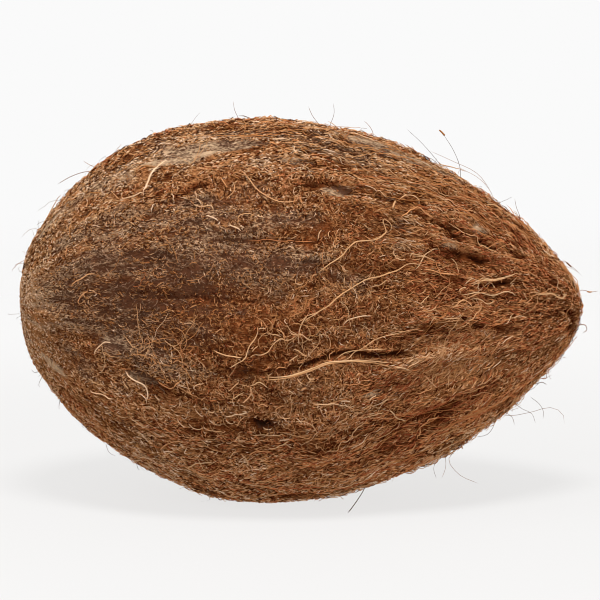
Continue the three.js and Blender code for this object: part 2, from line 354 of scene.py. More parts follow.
# Shorter ones: places on the grid, how thick and how pale.
SHORT_STRANDS = [
    ([(116, 198.5), (121, 197), (127, 195.5), (133, 194), (139, 191.5), (143, 189.5)], 0.42, 0.9),
    ([(240, 172), (248, 180), (256, 188), (265, 194), (279, 200), (288, 201), (296, 200), (300, 196)],
     0.36, 0.84),
    ([(196, 169), (201, 171), (206, 172), (210, 175)], 0.3, 0.74),
    ([(221, 180), (224, 184), (227, 187)], 0.3, 0.8),
    ([(231, 173), (233, 168), (236, 165)], 0.25, 0.85),
    ([(225, 197), (230, 193), (234, 189), (235, 184)], 0.28, 0.76),
    ([(193, 203), (196, 206), (201, 208), (206, 207), (211, 206), (214, 211)], 0.34, 0.85),
    ([(195, 198), (199, 200), (201, 204)], 0.32, 0.9),
    ([(206, 217.5), (211, 218.5), (216, 220.5), (219, 222)], 0.42, 0.92),
    ([(228, 225.5), (233, 227), (238, 228.5), (241, 230)], 0.4, 0.92),
    ([(238, 221), (240, 218), (244, 216), (249, 216), (253, 215.5)], 0.3, 0.82),
    ([(257, 217), (260, 219), (264, 219)], 0.36, 0.86),
    ([(171, 194), (174, 197), (173, 201)], 0.3, 0.88),
    ([(110, 190), (113, 193), (116, 196)], 0.25, 0.8),
    ([(163, 176), (167, 172), (170, 171)], 0.3, 0.8),
    ([(71, 287), (77, 282), (84, 279), (90, 275), (96, 274)], 0.38, 0.82),
    ([(78, 305), (78, 301), (80, 297), (86, 291)], 0.3, 0.8),
    ([(92, 356), (96, 349), (105, 343), (109, 345)], 0.36, 0.9),
    ([(122, 372), (130, 379), (137, 383), (143, 386), (146, 390), (148, 395), (147, 399), (144, 401)],
     0.55, 0.88),
    ([(90, 390), (101, 393), (115, 398)], 0.48, 0.9),
    ([(153, 381), (158, 385), (164, 388), (170, 389), (174, 387), (177, 383), (184, 379)], 0.3, 0.8),
    ([(186, 380), (188, 385), (190, 391), (192, 396)], 0.28, 0.76),
    ([(194, 389), (195, 386), (199, 384), (204, 384)], 0.28, 0.85),
    ([(154, 396), (156, 399), (159, 402)], 0.32, 0.8),
    ([(177, 419), (180, 423), (183, 426), (186, 428)], 0.34, 0.88),
    ([(194, 411), (197, 414), (200, 417), (203, 418.5)], 0.32, 0.88),
    ([(207, 412.5), (210, 414), (214, 413.5)], 0.45, 0.84),
    ([(223, 418.5), (229, 418), (235, 416), (242, 415), (248, 414)], 0.4, 0.9),
    ([(227, 393), (231, 390), (235, 386), (239, 383)], 0.38, 0.74),
    ([(249, 387), (254, 385), (259, 382), (263, 384), (269, 390)], 0.32, 0.8),
    ([(250, 388), (251, 394), (249, 398), (246, 401), (242, 405)], 0.36, 0.88),
    ([(251, 394), (253, 398), (252, 403)], 0.3, 0.8),
    ([(232, 400), (237, 397), (240, 395), (244, 394)], 0.32, 0.8),
    ([(212, 423), (216, 427), (221, 428)], 0.3, 0.8),
    ([(225, 422), (229, 425), (233, 426)], 0.32, 0.85),
    ([(257, 408), (262, 406), (266, 407), (268, 409)], 0.4, 0.84),
    ([(236, 430), (238, 425), (241, 421), (245, 418)], 0.3, 0.76),
    ([(277, 415), (276, 411), (280, 408), (287, 407)], 0.28, 0.78),
    ([(279, 417), (285, 418), (291, 417)], 0.34, 0.85),
    ([(249, 437), (256, 436.5), (264, 435), (273, 434), (285, 433)], 0.3, 0.76),
    ([(267, 449), (274, 447.5), (280, 445), (286, 442), (290, 441)], 0.34, 0.8),
    ([(263, 430), (268, 430), (272, 429)], 0.34, 0.88),
    ([(160, 450), (163, 446), (168, 443), (175, 442), (182, 443), (188, 445)], 0.3, 0.76),
    ([(163, 455), (168, 452), (173, 450), (177, 449)], 0.34, 0.76),
    ([(188, 465), (192, 462), (197, 461), (204, 461.5), (211, 462), (218, 462)], 0.34, 0.8),
    ([(248, 461), (252, 458), (257, 455), (262, 454), (267, 455)], 0.4, 0.76),
    ([(229, 462), (232, 458), (235, 456)], 0.3, 0.8),
    ([(240, 460), (244, 461), (247, 464), (248, 467)], 0.3, 0.8),
    ([(288, 390), (291, 392), (294, 395)], 0.36, 0.85),
    ([(320, 312), (314, 315.5), (308, 319), (305, 322)], 0.28, 0.8),
    ([(308, 316), (304, 321), (301, 327), (299, 335), (299, 341), (300, 347)], 0.3, 0.8),
    ([(289, 331), (292, 334), (299, 335), (302, 335), (306, 338), (310, 341), (315, 340)], 0.3, 0.86),
    ([(276, 329), (280, 331), (284, 334), (283, 339)], 0.26, 0.8),
    ([(268, 332), (271, 334), (276, 335), (281, 337)], 0.26, 0.78),
    ([(310, 323), (314, 325), (318, 329), (320, 334), (321, 340), (319, 346), (314, 351), (309, 357),
      (305, 362)], 0.26, 0.68),
    ([(294, 350), (299, 352), (303, 355), (308, 358)], 0.28, 0.76),
    ([(289, 362), (294, 359), (299, 356)], 0.28, 0.8),
    ([(275, 371), (279, 367), (284, 368), (288, 370)], 0.28, 0.76),
    ([(213, 350), (220, 353), (226, 355), (234, 356), (243, 358)], 0.36, 0.82),
    ([(266, 329), (262, 328), (258, 329)], 0.3, 0.8),
    ([(262, 327), (261, 321)], 0.25, 0.8),
    ([(252, 352), (254, 349), (258, 346)], 0.26, 0.8),
    ([(306, 373), (308, 377), (310, 380), (307, 383)], 0.3, 0.86),
    ([(297, 378), (299, 381), (303, 384)], 0.3, 0.86),
    ([(396, 368), (402, 368), (408, 370), (411, 371)], 0.34, 0.84),
    ([(336, 361), (345, 355), (355, 352), (370, 350), (385, 350)], 0.28, 0.76),
    ([(331, 361), (331, 356), (334, 353)], 0.3, 0.78),
    ([(344, 327), (348, 321), (355, 318), (364, 316), (373, 316)], 0.36, 0.88),
    ([(423, 270), (428, 269.5), (434, 271), (440, 273), (450, 274), (458, 275)], 0.34, 0.8),
    ([(415, 270), (419, 266), (421, 262), (423, 258.5), (427, 253), (431, 250.5), (436, 247.5), (442, 247)],
     0.3, 0.82),
    ([(410, 259), (411, 254), (417, 255), (425, 255.5), (430, 257.5), (434, 259.5), (439, 260.5)], 0.3, 0.78),
    ([(393, 250), (392, 256), (395, 259), (400, 261), (404, 260), (405, 258)], 0.3, 0.85),
    ([(372, 285), (380, 285), (384, 282), (388, 279)], 0.25, 0.76),
    ([(384, 289), (390, 288), (395, 285)], 0.25, 0.76),
    ([(400, 217), (406, 214), (412, 209), (417, 208), (421, 210), (430, 215), (436, 217)], 0.36, 0.82),
    ([(318, 240), (319, 234), (322, 229)], 0.25, 0.8),
    ([(329, 240), (328, 234), (331, 230)], 0.25, 0.8),
    ([(246, 236), (256, 237.5), (264, 236), (274, 237), (284, 238.5), (292, 238), (302, 240), (318, 241)],
     0.26, 0.58),
    ([(455, 255), (458, 260), (461, 266), (461, 272)], 0.25, 0.8),
    ([(418, 305), (424, 299), (430, 295)], 0.28, 0.78),
    ([(342, 266), (343, 271), (346, 272)], 0.25, 0.8),
    ([(466, 285), (469, 281), (473, 278.5), (477, 280), (481, 282)], 0.28, 0.82),
    ([(463, 293), (460, 290), (463, 288), (468, 287)], 0.3, 0.82),
    ([(480, 281), (479, 286), (480, 291)], 0.24, 0.78),
    ([(494, 282), (496, 285), (495, 288)], 0.26, 0.84),
    ([(517, 277), (514, 282), (511, 287)], 0.26, 0.78),
    ([(463, 294), (470, 294), (478, 292), (484, 293), (490, 295), (496, 295), (501, 293), (506, 291.5),
      (512, 292.5), (516, 295), (518, 298)], 0.32, 0.84),
    ([(473, 299), (479, 298.5), (484, 300), (487, 303), (491, 304), (494, 302), (495, 298)], 0.3, 0.82),
    ([(452, 309), (457, 305.5), (462, 301.5), (466, 300), (470, 302), (473, 306), (475, 310)], 0.32, 0.82),
    ([(482, 300), (483, 306), (480, 311), (475, 314), (471, 319), (466, 321.5), (463, 320)], 0.34, 0.8),
    ([(557, 276), (558, 282), (560, 288), (562, 293)], 0.28, 0.8),
    ([(501, 268), (502, 274)], 0.3, 0.84),
    ([(523, 281), (525, 286), (529, 290)], 0.26, 0.8),
    ([(505, 325), (509, 319), (514, 315)], 0.3, 0.86),
    ([(514, 318), (520, 316), (527, 318)], 0.3, 0.86),
    ([(311, 404.5), (319, 404.5), (326, 404.5), (333, 403.5), (340, 405), (347, 406.5)], 0.38, 0.86),
    ([(340, 401), (346, 401), (351, 402)], 0.45, 0.9),
    ([(364, 420), (368, 417), (373, 416), (379, 414), (385, 413.5)], 0.3, 0.78),
    ([(385, 412.5), (390, 411.5), (394, 414.5), (397, 419), (401, 421.5), (406, 423.5), (411, 426.5)],
     0.38, 0.82),
    ([(361, 412), (366, 408.5), (371, 406), (376, 409), (382, 410)], 0.3, 0.72),
    ([(374, 443), (381, 440.5), (388, 438.5), (394, 436), (400, 432), (406, 428)], 0.34, 0.68),
    ([(418, 443), (421, 437), (425, 431), (429, 427), (434, 423.5), (439, 421.5), (444, 421)], 0.38, 0.8),
    ([(418, 396), (424, 393.5), (430, 390.5), (434, 388)], 0.34, 0.8),
    ([(428, 378), (431, 382), (435, 386), (438, 389)], 0.34, 0.84),
    ([(369, 401), (373, 397.5), (377, 396)], 0.36, 0.86),
    ([(360, 450), (363, 445), (366, 440), (372, 437)], 0.28, 0.74),
    ([(405, 453), (411, 448), (417, 443.5)], 0.3, 0.62),
    ([(486, 201), (493, 204), (499, 208), (505, 212), (512, 214)], 0.36, 0.82),
    ([(392.5, 208.5), (394, 204), (396, 200)], 0.6, 0.72),
    ([(399, 198), (405, 196.5), (411, 197), (417, 201), (420, 205)], 0.34, 0.84),
    ([(294, 151), (293.5, 155), (296, 158)], 0.36, 0.92),
]

# Flyaway hairs that stand off the outline as the front shows it: places across and up in the part's frame,
# with the depth after them where it isn't HAIR_DEPTH, and how thick.
HAIR_DEPTH = -2
OUTLINE_HAIRS = [
    ([(17.4, 5.4, -9), (16.6, 4.4, -14), (14.6, 2.6, -21), (13, 1.4, -26), (11.9, 0.8, -30)], 0.3),
    ([(-64.4, 83.6), (-60.5, 85.8), (-56, 87), (-52, 86)], 0.22),
    ([(-57.5, 89.8), (-55.5, 88.6), (-52.5, 87.8)], 0.16),
    ([(-17.8, 105.6), (-17.6, 103.5), (-16.2, 100.5), (-15, 98)], 0.14),
    ([(1.9, 104.2), (2.8, 102), (4.8, 99.2), (6, 97)], 0.16),
    ([(8.5, 105), (8.7, 102.4), (7.7, 99.4), (7, 97)], 0.14),
    ([(16.5, 100.4), (17.6, 99.4), (18.9, 97.3), (19, 95)], 0.16),
    ([(27.7, 98.3), (31.7, 94.6), (35.9, 89.8), (38, 87)], 0.13),
    ([(33.8, 92.5), (39.6, 89.9), (47, 86), (50, 82)], 0.13),
    ([(37.4, 96.9), (40.2, 92.5), (42, 87.6), (42, 84)], 0.15),
    ([(36.3, 98), (37.1, 97.3), (37.9, 96.4)], 0.6),
    ([(41, 88.4), (47.6, 84.6), (50.3, 81.2), (51, 79)], 0.12),
    ([(56.4, 79.9), (56.9, 77.5), (57.7, 75.4), (58, 73)], 0.14),
    ([(73.7, 60.1), (71.5, 62), (69.9, 63.2), (67.5, 63)], 0.14),
    ([(71.6, 61.6), (70.8, 62.4), (70.2, 63)], 0.5),
    ([(79, 55.4), (76.8, 55), (74.6, 55.6), (72, 54), (68, 53)], 0.2),
    ([(77.2, 55.1), (76.5, 55), (75.8, 55.2)], 0.5),
    ([(70.2, 19.6), (69.6, 22.6), (67, 24), (61, 22.8), (55.6, 21.9), (51, 22.6)], 0.13),
    ([(56.9, 19.4), (56.3, 21.4), (54.5, 22.8), (52, 25)], 0.15),
    ([(62.5, 19.8), (61.5, 22.4), (58.8, 23.8), (56, 26)], 0.13),
    ([(64.4, 20.9), (64.6, 22.8), (63.8, 24.6), (61, 27)], 0.13),
    ([(65.4, 30.2), (64.2, 30.9), (62.4, 30.4), (60, 31)], 0.24),
    ([(46.3, 16.1), (49.7, 16.9), (51.6, 21.4), (50, 24)], 0.16),
    ([(47.6, 3.5), (42, 6.2), (39.4, 10), (42, 13.9), (43, 17)], 0.14),
    ([(37.5, 4.9), (38.6, 8), (38.3, 11.6), (37, 15)], 0.13),
    ([(36.2, 4.9), (35.4, 7.4), (35.9, 10.2), (35, 14)], 0.13),
    ([(74.8, 44.1), (75.9, 45), (75.4, 46.2), (73, 46)], 0.26),
]

GRAIN_SEED = 11
CRUMB_SEED = 12
FUZZ_SEED = 13
CURL_SEED = 23
STRAND_SEED = 37
HAIR_SEED = 51
GRAIN_PIECES = 3


def linear(hex_colour):
    """A colour such as "8a5530" as Blender's linear RGB."""
    parts = [int(hex_colour[i : i + 2], 16) / 255 for i in (0, 2, 4)]
    return tuple(c / 12.92 if c <= 0.04045 else ((c + 0.055) / 1.055) ** 2.4 for c in parts)


def smooth(value, low, high):
    """0 below low, 1 above high, and smooth between them."""
    share = np.clip((value - low) / (high - low), 0, 1)
    return share * share * (3 - 2 * share)


def turn_between(start, end):
    """The shortest way round from one angle to another, from -pi to pi."""
    return (end - start + math.pi) % (2 * math.pi) - math.pi


def some(random, count, share, low, high):
    """A value from low to high for a share of the fibres, and 0 for the others."""
    return np.where(random.random(count) < share, random.uniform(low, high, count), 0)


def ends_within(shares):
    """The lowest and highest x within shares of the round end and the stem end."""
    return -ROUND_END["length"] * shares[0], STEM_END["length"] * shares[1]


def seeded_draws(seed):
    """The solid's own random numbers, so that its relief comes out the same."""
    word = 0xFFFFFFFF
    state = seed

    def draw():
        nonlocal state
        state = (state + 0x6D2B79F5) & word
        t = ((state ^ (state >> 15)) * (1 | state)) & word
        t = ((t + (((t ^ (t >> 7)) * (61 | t)) & word)) & word) ^ t
        return ((t ^ (t >> 14)) & word) / 2**32

    return draw


class Noise:
    """Smooth random values from 0 to 1 in space, with lumps of one length and one width."""

    CELLS = 48

    def __init__(self, random, length, width):
        self.values = random.random((self.CELLS,) * 3)
        self.lump = np.array((length, width, width)) * MM

    def __call__(self, points):
        at = points / self.lump + self.CELLS
        cell = np.floor(at).astype(int)
        share = at - cell
        share = share * share * (3 - 2 * share)
        total = 0
        for corner in np.ndindex(2, 2, 2):
            i, j, k = (cell[..., axis] + corner[axis] for axis in range(3))
            near = np.prod([share[..., a] if corner[a] else 1 - share[..., a] for a in range(3)], axis=0)
            total = total + near * self.values[i % self.CELLS, j % self.CELLS, k % self.CELLS]
        return total


class Coat:
    """The form of the nut's coat: where it runs, how it is matted, and how worn and how pale it is."""

    SLOPE_REACH = 0.05  # over which the outline's slope is taken
    CREVICE_REACH = 3  # how far past its ends a crevice can still show
    GROOVE_WIDTH = 0.045  # how near its middle value the noise that splits the coat is in a groove
    SEARCHES = 25  # in looking for the place under one on the grid
    MOST_TURN = 0.2  # in radians, in one of them
    STATIONS = 800  # along the nut, between which its area is taken

    def __init__(self):
        draw = seeded_draws(FORM_SEED)

        def between(low, high):
            return low + (high - low) * draw()

        def draw_waves(waves):
            drawn = []
            for _ in range(waves["count"]):
                around = math.floor(between(*waves["waves"]) + 0.5)
                along = between(*waves["axial"]) * (-1 if draw() < 0.5 else 1)
                phase = between(0, 2 * math.pi)
                drawn.append((around, along, phase, waves["height"] * between(0.6, 1.4)))
            return drawn

        self.waves = draw_waves(LUMPS) + draw_waves(RIBS)
        self.furrows = list(FRONT_FURROWS)
        low, high = ends_within(FURROWS["within"])
        for _ in range(FURROWS["count"]):
            reach = between(*FURROWS["length"])
            x = between(low, high - reach)
            degrees = between(-180, 180)
            end = (x + reach, degrees + between(-FURROWS["slant"], FURROWS["slant"]))
            self.furrows.append(((x, degrees), end, between(*FURROWS["depth"]), between(*FURROWS["width"])))
        random = np.random.RandomState(FORM_SEED)
        self.matting = [(Noise(random, long, wide), height) for long, wide, height in MATTING]
        self.crevices = [(self.under_grid(route), wide, dark) for route, wide, dark in FRONT_CREVICES]
        self.crevices += [self.drawn_crevice(random) for _ in range(CREVICES["count"])]
        self.worn, self.pale, self.rusty, self.split, self.torn, self.spotted, self.mottled = (
            Noise(random, *size) for size in LUMP_SIZES
        )

    def drawn_crevice(self, random):
        low, high = ends_within(CREVICES["within"])
        reach = random.uniform(*CREVICES["length"])
        x = random.uniform(low, high - reach)
        degrees = random.uniform(*CREVICES["round"])
        bend, slant = random.normal(0, CREVICES["slant"], 2)
        route = [(x, degrees), (x + reach / 2, degrees + bend), (x + reach, degrees + slant)]
        return route, random.uniform(*CREVICES["width"]), random.uniform(*CREVICES["dark"])

    def share(self, x):
        return np.clip(np.where(x < 0, -x / ROUND_END["length"], x / STEM_END["length"]), 0, 1)

    def of_end(self, x, name):
        return np.where(x < 0, ROUND_END[name], STEM_END[name])

    def radius(self, x):
        share = self.share(x)
        fullness = self.of_end(x, "fullness")
        fullness = fullness + (self.of_end(x, "tip_fullness") - fullness) * smooth(share, TIP_FROM, 1)
        return DIAMETER / 2 * (1 - share ** self.of_end(x, "power")) ** fullness

    def spine(self, x):
        return DIAMETER / 2 - REST_SPOT["depth"] + self.of_end(x, "rise") * smooth(self.share(x), 0, RISEN_AT)

    def normal(self, x):
        low = np.maximum(-ROUND_END["length"], x - self.SLOPE_REACH)
        high = np.minimum(STEM_END["length"], x + self.SLOPE_REACH)
        rise, run = self.radius(high) - self.radius(low), high - low
        length = np.hypot(rise, run)
        return -rise / length, run / length

    def furrow_depth(self, furrow, x, angle, across):
        (x0, deg0), (x1, deg1), depth, width = furrow
        line_along, line_across = x1 - x0, math.radians(deg1 - deg0) * across
        along, away = x - x0, turn_between(math.radians(deg0), angle) * across
        square = line_along**2 + line_across**2
        share = (along * line_along + away * line_across) / square
        offset = (away * line_along - along * line_across) / np.sqrt(square)
        inside = np.sqrt(np.sin(math.pi * np.clip(share, 0, 1)).clip(0))
        return depth * inside * np.exp(-((offset / width) ** 2))

    def trough(self, x, angle):
        across = self.radius(x)
        deepest = np.zeros(np.broadcast(x, angle).shape)
        for furrow in self.furrows:
            deepest = np.maximum(deepest, self.furrow_depth(furrow, x, angle, across))
        return deepest

    def crevice(self, x, angle):
        """How deep in a narrow crevice each place is, from 0 to 1."""
        x, angle = np.broadcast_arrays(x, angle)
        across = self.radius(x)
        deepest = np.zeros(x.shape)
        for route, width, dark in self.crevices:
            ends = [place[0] for place in route]
            near = (x > min(ends) - self.CREVICE_REACH) & (x < max(ends) + self.CREVICE_REACH)
            for (x0, deg0), (x1, deg1) in zip(route, route[1:]):
                along, away = x[near] - x0, turn_between(math.radians(deg0), angle[near]) * across[near]
                reach, rise = x1 - x0, math.radians(deg1 - deg0) * across[near]
                share = np.clip((along * reach + away * rise) / (reach**2 + rise**2), 0, 1)
                distance = np.hypot(along - share * reach, away - share * rise)
                deepest[near] = np.maximum(deepest[near], dark * np.exp(-((distance / width) ** 4)))
        return deepest * (0.45 + 0.55 * smooth(self.torn(self.wound(x, angle)), 0.35, 0.6))

    def groove(self, x, angle):
        """How deep in one of the long thin grooves between the ribs of coir, from 0 to 1."""
        wound = self.wound(x, angle)
        middle = np.exp(-(((self.split(wound) - 0.5) / self.GROOVE_WIDTH) ** 2))
        where = (0.25 + 0.75 * self.combed(x, angle)) * (1 - 0.6 * self.short(x, angle))
        return middle * smooth(self.torn(wound), 0.42, 0.6) * where

    def spot(self, x, angle):
        """Where the coir has come off in small spots, from 0 to 1."""
        wound = self.wound(x, angle)
        return smooth(self.spotted(wound) + 0.35 * self.torn(wound), 0.76, 0.86)

    def short(self, x, angle):
        """How short the coir is worn, from 0 to 1."""
        front = smooth(np.cos(angle), 0, 0.3) * smooth(-x, -14, 4) * smooth(np.sin(angle), -0.3, 0)
        return np.maximum(smooth(-x, 22, 48), 0.8 * front)

    def calm(self, x, angle):
        """0 on the resting spot and 1 away from it."""
        along = (x - REST_SPOT["x"]) / REST_SPOT["calm_length"]
        across = turn_between(-math.pi / 2, angle) / math.radians(REST_SPOT["calm_angle"])
        return smooth(np.hypot(along, across), 0.45, 1)

    def relief(self, x, angle):
        height = KEELS["height"] * np.cos(KEELS["count"] * (angle - math.radians(KEELS["degrees"])))
        for around, along, phase, wave in self.waves:
            height = height + wave * np.cos(around * angle + along * x + phase)
        height = height - self.trough(x, angle)
        return height * smooth(self.radius(x), *DRAWN_IN) * self.calm(x, angle)

    def wound(self, x, angle):
        """Places on a straight round bar, in metres, so that noise lies along the nut right to its ends."""
        x, angle = np.broadcast_arrays(x, angle)
        return np.stack([x, -DIAMETER / 2 * np.cos(angle), DIAMETER / 2 * np.sin(angle)], axis=-1) * MM

    def matted(self, x, angle):
        """The height of the lumps that the coir is matted in, in mm."""
        wound = self.wound(x, angle)
        height = sum(height * (noise(wound) - 0.5) for noise, height in self.matting)
        height = height * (0.6 + 0.8 * self.combed(x, angle)) * (1 - 0.6 * self.short(x, angle))
        height = height * (1 - 0.75 * self.bareness(x, angle)) - CREVICE_DEPTH * self.crevice(x, angle)
        height = height - GROOVE_DEPTH * self.groove(x, angle) - SPOT_DEPTH * self.spot(x, angle)
        return height * self.calm(x, angle) * smooth(self.radius(x), 2, 14)

    def outline_point(self, x, angle, lift):
        """A point over the bare outline, in metres in the part's frame."""
        along, out = self.normal(x)
        radius = self.radius(x) + lift * out
        across = [-radius * np.cos(angle), self.spine(x) + radius * np.sin(angle)]
        return np.stack([x + lift * along + WIDEST_X, *across], axis=-1) * MM

    def point(self, x, angle, lift=0.0):
        """A point so many mm over the matted coat, in metres in the part's frame."""
        bed = BED * (0.25 + 0.75 * self.calm(x, angle))
        return self.outline_point(x, angle, self.relief(x, angle) + self.matted(x, angle) - bed + lift)

    def on_grid(self, x, angle):
        """The steps across and down the grid at which the view shows places on the bare outline."""
        across, depth, height = np.moveaxis(self.outline_point(x, angle, 0) - AIM, -1, 0)
        lean, rise = math.cos(ELEVATION), math.sin(ELEVATION)
        scale = LENS / SENSOR * GRID / (DISTANCE + depth * lean - height * rise)
        return GRID / 2 + across * scale, GRID / 2 - (depth * rise + height * lean) * scale

    def under_grid(self, places):
        """The places (x, deg) on the coat under places on the grid, with any lifts left after them."""
        across, down = np.array([place[:2] for place in places], float).T
        step = DISTANCE * SENSOR / LENS / GRID / MM
        x = (across - GRID / 2) * step - WIDEST_X
        height = AIM[2] / MM + (GRID / 2 - down) * step - self.spine(x)
        angle = np.arcsin(np.clip(height / self.radius(x), -0.95, 0.95))
        for _ in range(self.SEARCHES):
            at_across, at_down = self.on_grid(x, angle)
            x = np.clip(x + (across - at_across) * step, *GRID_ENDS)
            foreshortened = self.radius(x) * np.cos(angle - ELEVATION).clip(0.25)
            turn = (at_down - down) * step / foreshortened
            angle = angle + turn.clip(-self.MOST_TURN, self.MOST_TURN)
        return [(*found, *place[2:]) for *found, place in zip(x, np.degrees(angle), places)]

    def patches(self, x, angle, patches):
        """How far each place is inside each patch, from 0 to 1, and the patch's amount."""
        across = self.radius(x)
        for x0, degrees, long, wide, amount in patches:
            away = turn_between(math.radians(degrees), angle) * across
            yield np.exp(-(((x - x0) / long) ** 2) - (away / wide) ** 2), amount

    def bareness(self, x, angle):
        """How worn the coat is, from 0 to 1."""
        placed = sum(share for share, _ in self.patches(x, angle, BARE_PATCHES))
        hidden = smooth(np.abs(turn_between(0, angle)), 1.35, 1.8)
        wound = self.wound(x, angle)
        drawn = 0.65 * self.worn(wound) + 0.35 * self.spotted(wound)
        strewn = smooth(drawn, 0.62, 0.85) * (0.2 + 0.8 * hidden)
        return smooth(placed * (0.1 + 1.6 * drawn) + strewn, 0.25, 0.7)

    def paleness(self, x, angle):
        """How much paler the coir is than on the whole, or darker, below 0: partly its own tone, partly
        painted light from the patches, and painted shade along the furrows.
        """
        shaded = self.patches(x, angle, SHADED_PATCHES + BARE_PATCHES)
        placed = sum(share * amount for share, amount in shaded)
        return placed + 0.26 * (self.pale(self.wound(x, angle)) - 0.5) - 0.03 * self.trough(x, angle)

    def hue(self, x, angle):
        """How red the coir is, from 0, red, through 0.5, golden, to 1, grey."""
        wound = self.wound(x, angle)
        placed = sum(share * amount for share, amount in self.patches(x, angle, HUE_PATCHES))
        return 0.32 + placed + 0.6 * (self.rusty(wound) - 0.5) + 0.5 * (self.mottled(wound) - 0.5)

    def lean(self, x, angle):
        """How far the coir leans across the nut, in radians."""
        return np.radians(sum(share * lean for share, lean in self.patches(x, angle, LEANING_PATCHES)))

    def combed(self, x, angle):
        """How well the coir lies along the nut, from 0.3, tangled, to 1."""
        height = np.sin(angle)
        ends = np.maximum(smooth(x + 24 * np.abs(height - 0.1), 22, 44), 0.75 * smooth(-x, 0, 26))
        sides = np.maximum(smooth(height, 0.6, 0.85), 0.9 * smooth(-height, 0.38, 0.65))
        return np.maximum(np.maximum(ends, sides), 0.3)

    def scatter(self, random, count, wanted):
        """Places drawn evenly over the coat, and kept by the share that wanted(x, angle) gives."""
        stations = np.linspace(-ROUND_END["length"], STEM_END["length"], self.STATIONS)
        area = self.radius(stations) / self.normal(stations)[1].clip(0.02)
        total = np.cumsum(area)
        kept_x, kept_angle, kept = [], [], 0
        while kept < count:
            x = np.interp(random.random(count) * total[-1], total, stations)
            angle = random.uniform(-math.pi, math.pi, count)
            keep = random.random(count) < wanted(x, angle)
            kept_x.append(x[keep])
            kept_angle.append(angle[keep])
            kept += keep.sum()
        return np.concatenate(kept_x)[:count], np.concatenate(kept_angle)[:count]

    def walk(self, x, angle, heading, turns, stride):
        """Routes over the coat from each place: headings in radians from the nut's length, strides in mm."""
        xs, angles = [x], [angle]
        for turn in turns.T:
            out = self.normal(xs[-1])[1]
            across = np.maximum(self.radius(xs[-1]), LEAST_RADIUS)
            xs.append(np.clip(xs[-1] + stride * np.cos(heading) * out, *WALK_ENDS))
            angles.append(angles[-1] + stride * np.sin(heading) / across)
            heading = heading + turn
        return np.stack(xs, axis=1), np.stack(angles, axis=1)


COAT = Coat()


def deselect_all():
    if bpy.context.object and bpy.context.object.mode != "OBJECT":
        bpy.ops.object.mode_set(mode="OBJECT")
    bpy.ops.object.select_all(action="DESELECT")


def coordinates(mesh):
    flat = np.empty(len(mesh.vertices) * 3)
    mesh.vertices.foreach_get("co", flat)
    return flat.reshape(-1, 3)


def settle(piece, material):
    """Gives a finished piece its material and tells the frame what it is."""
    piece.data.materials.clear()
    piece.data.materials.append(material)
    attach(piece, BODY)
    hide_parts(NODE)


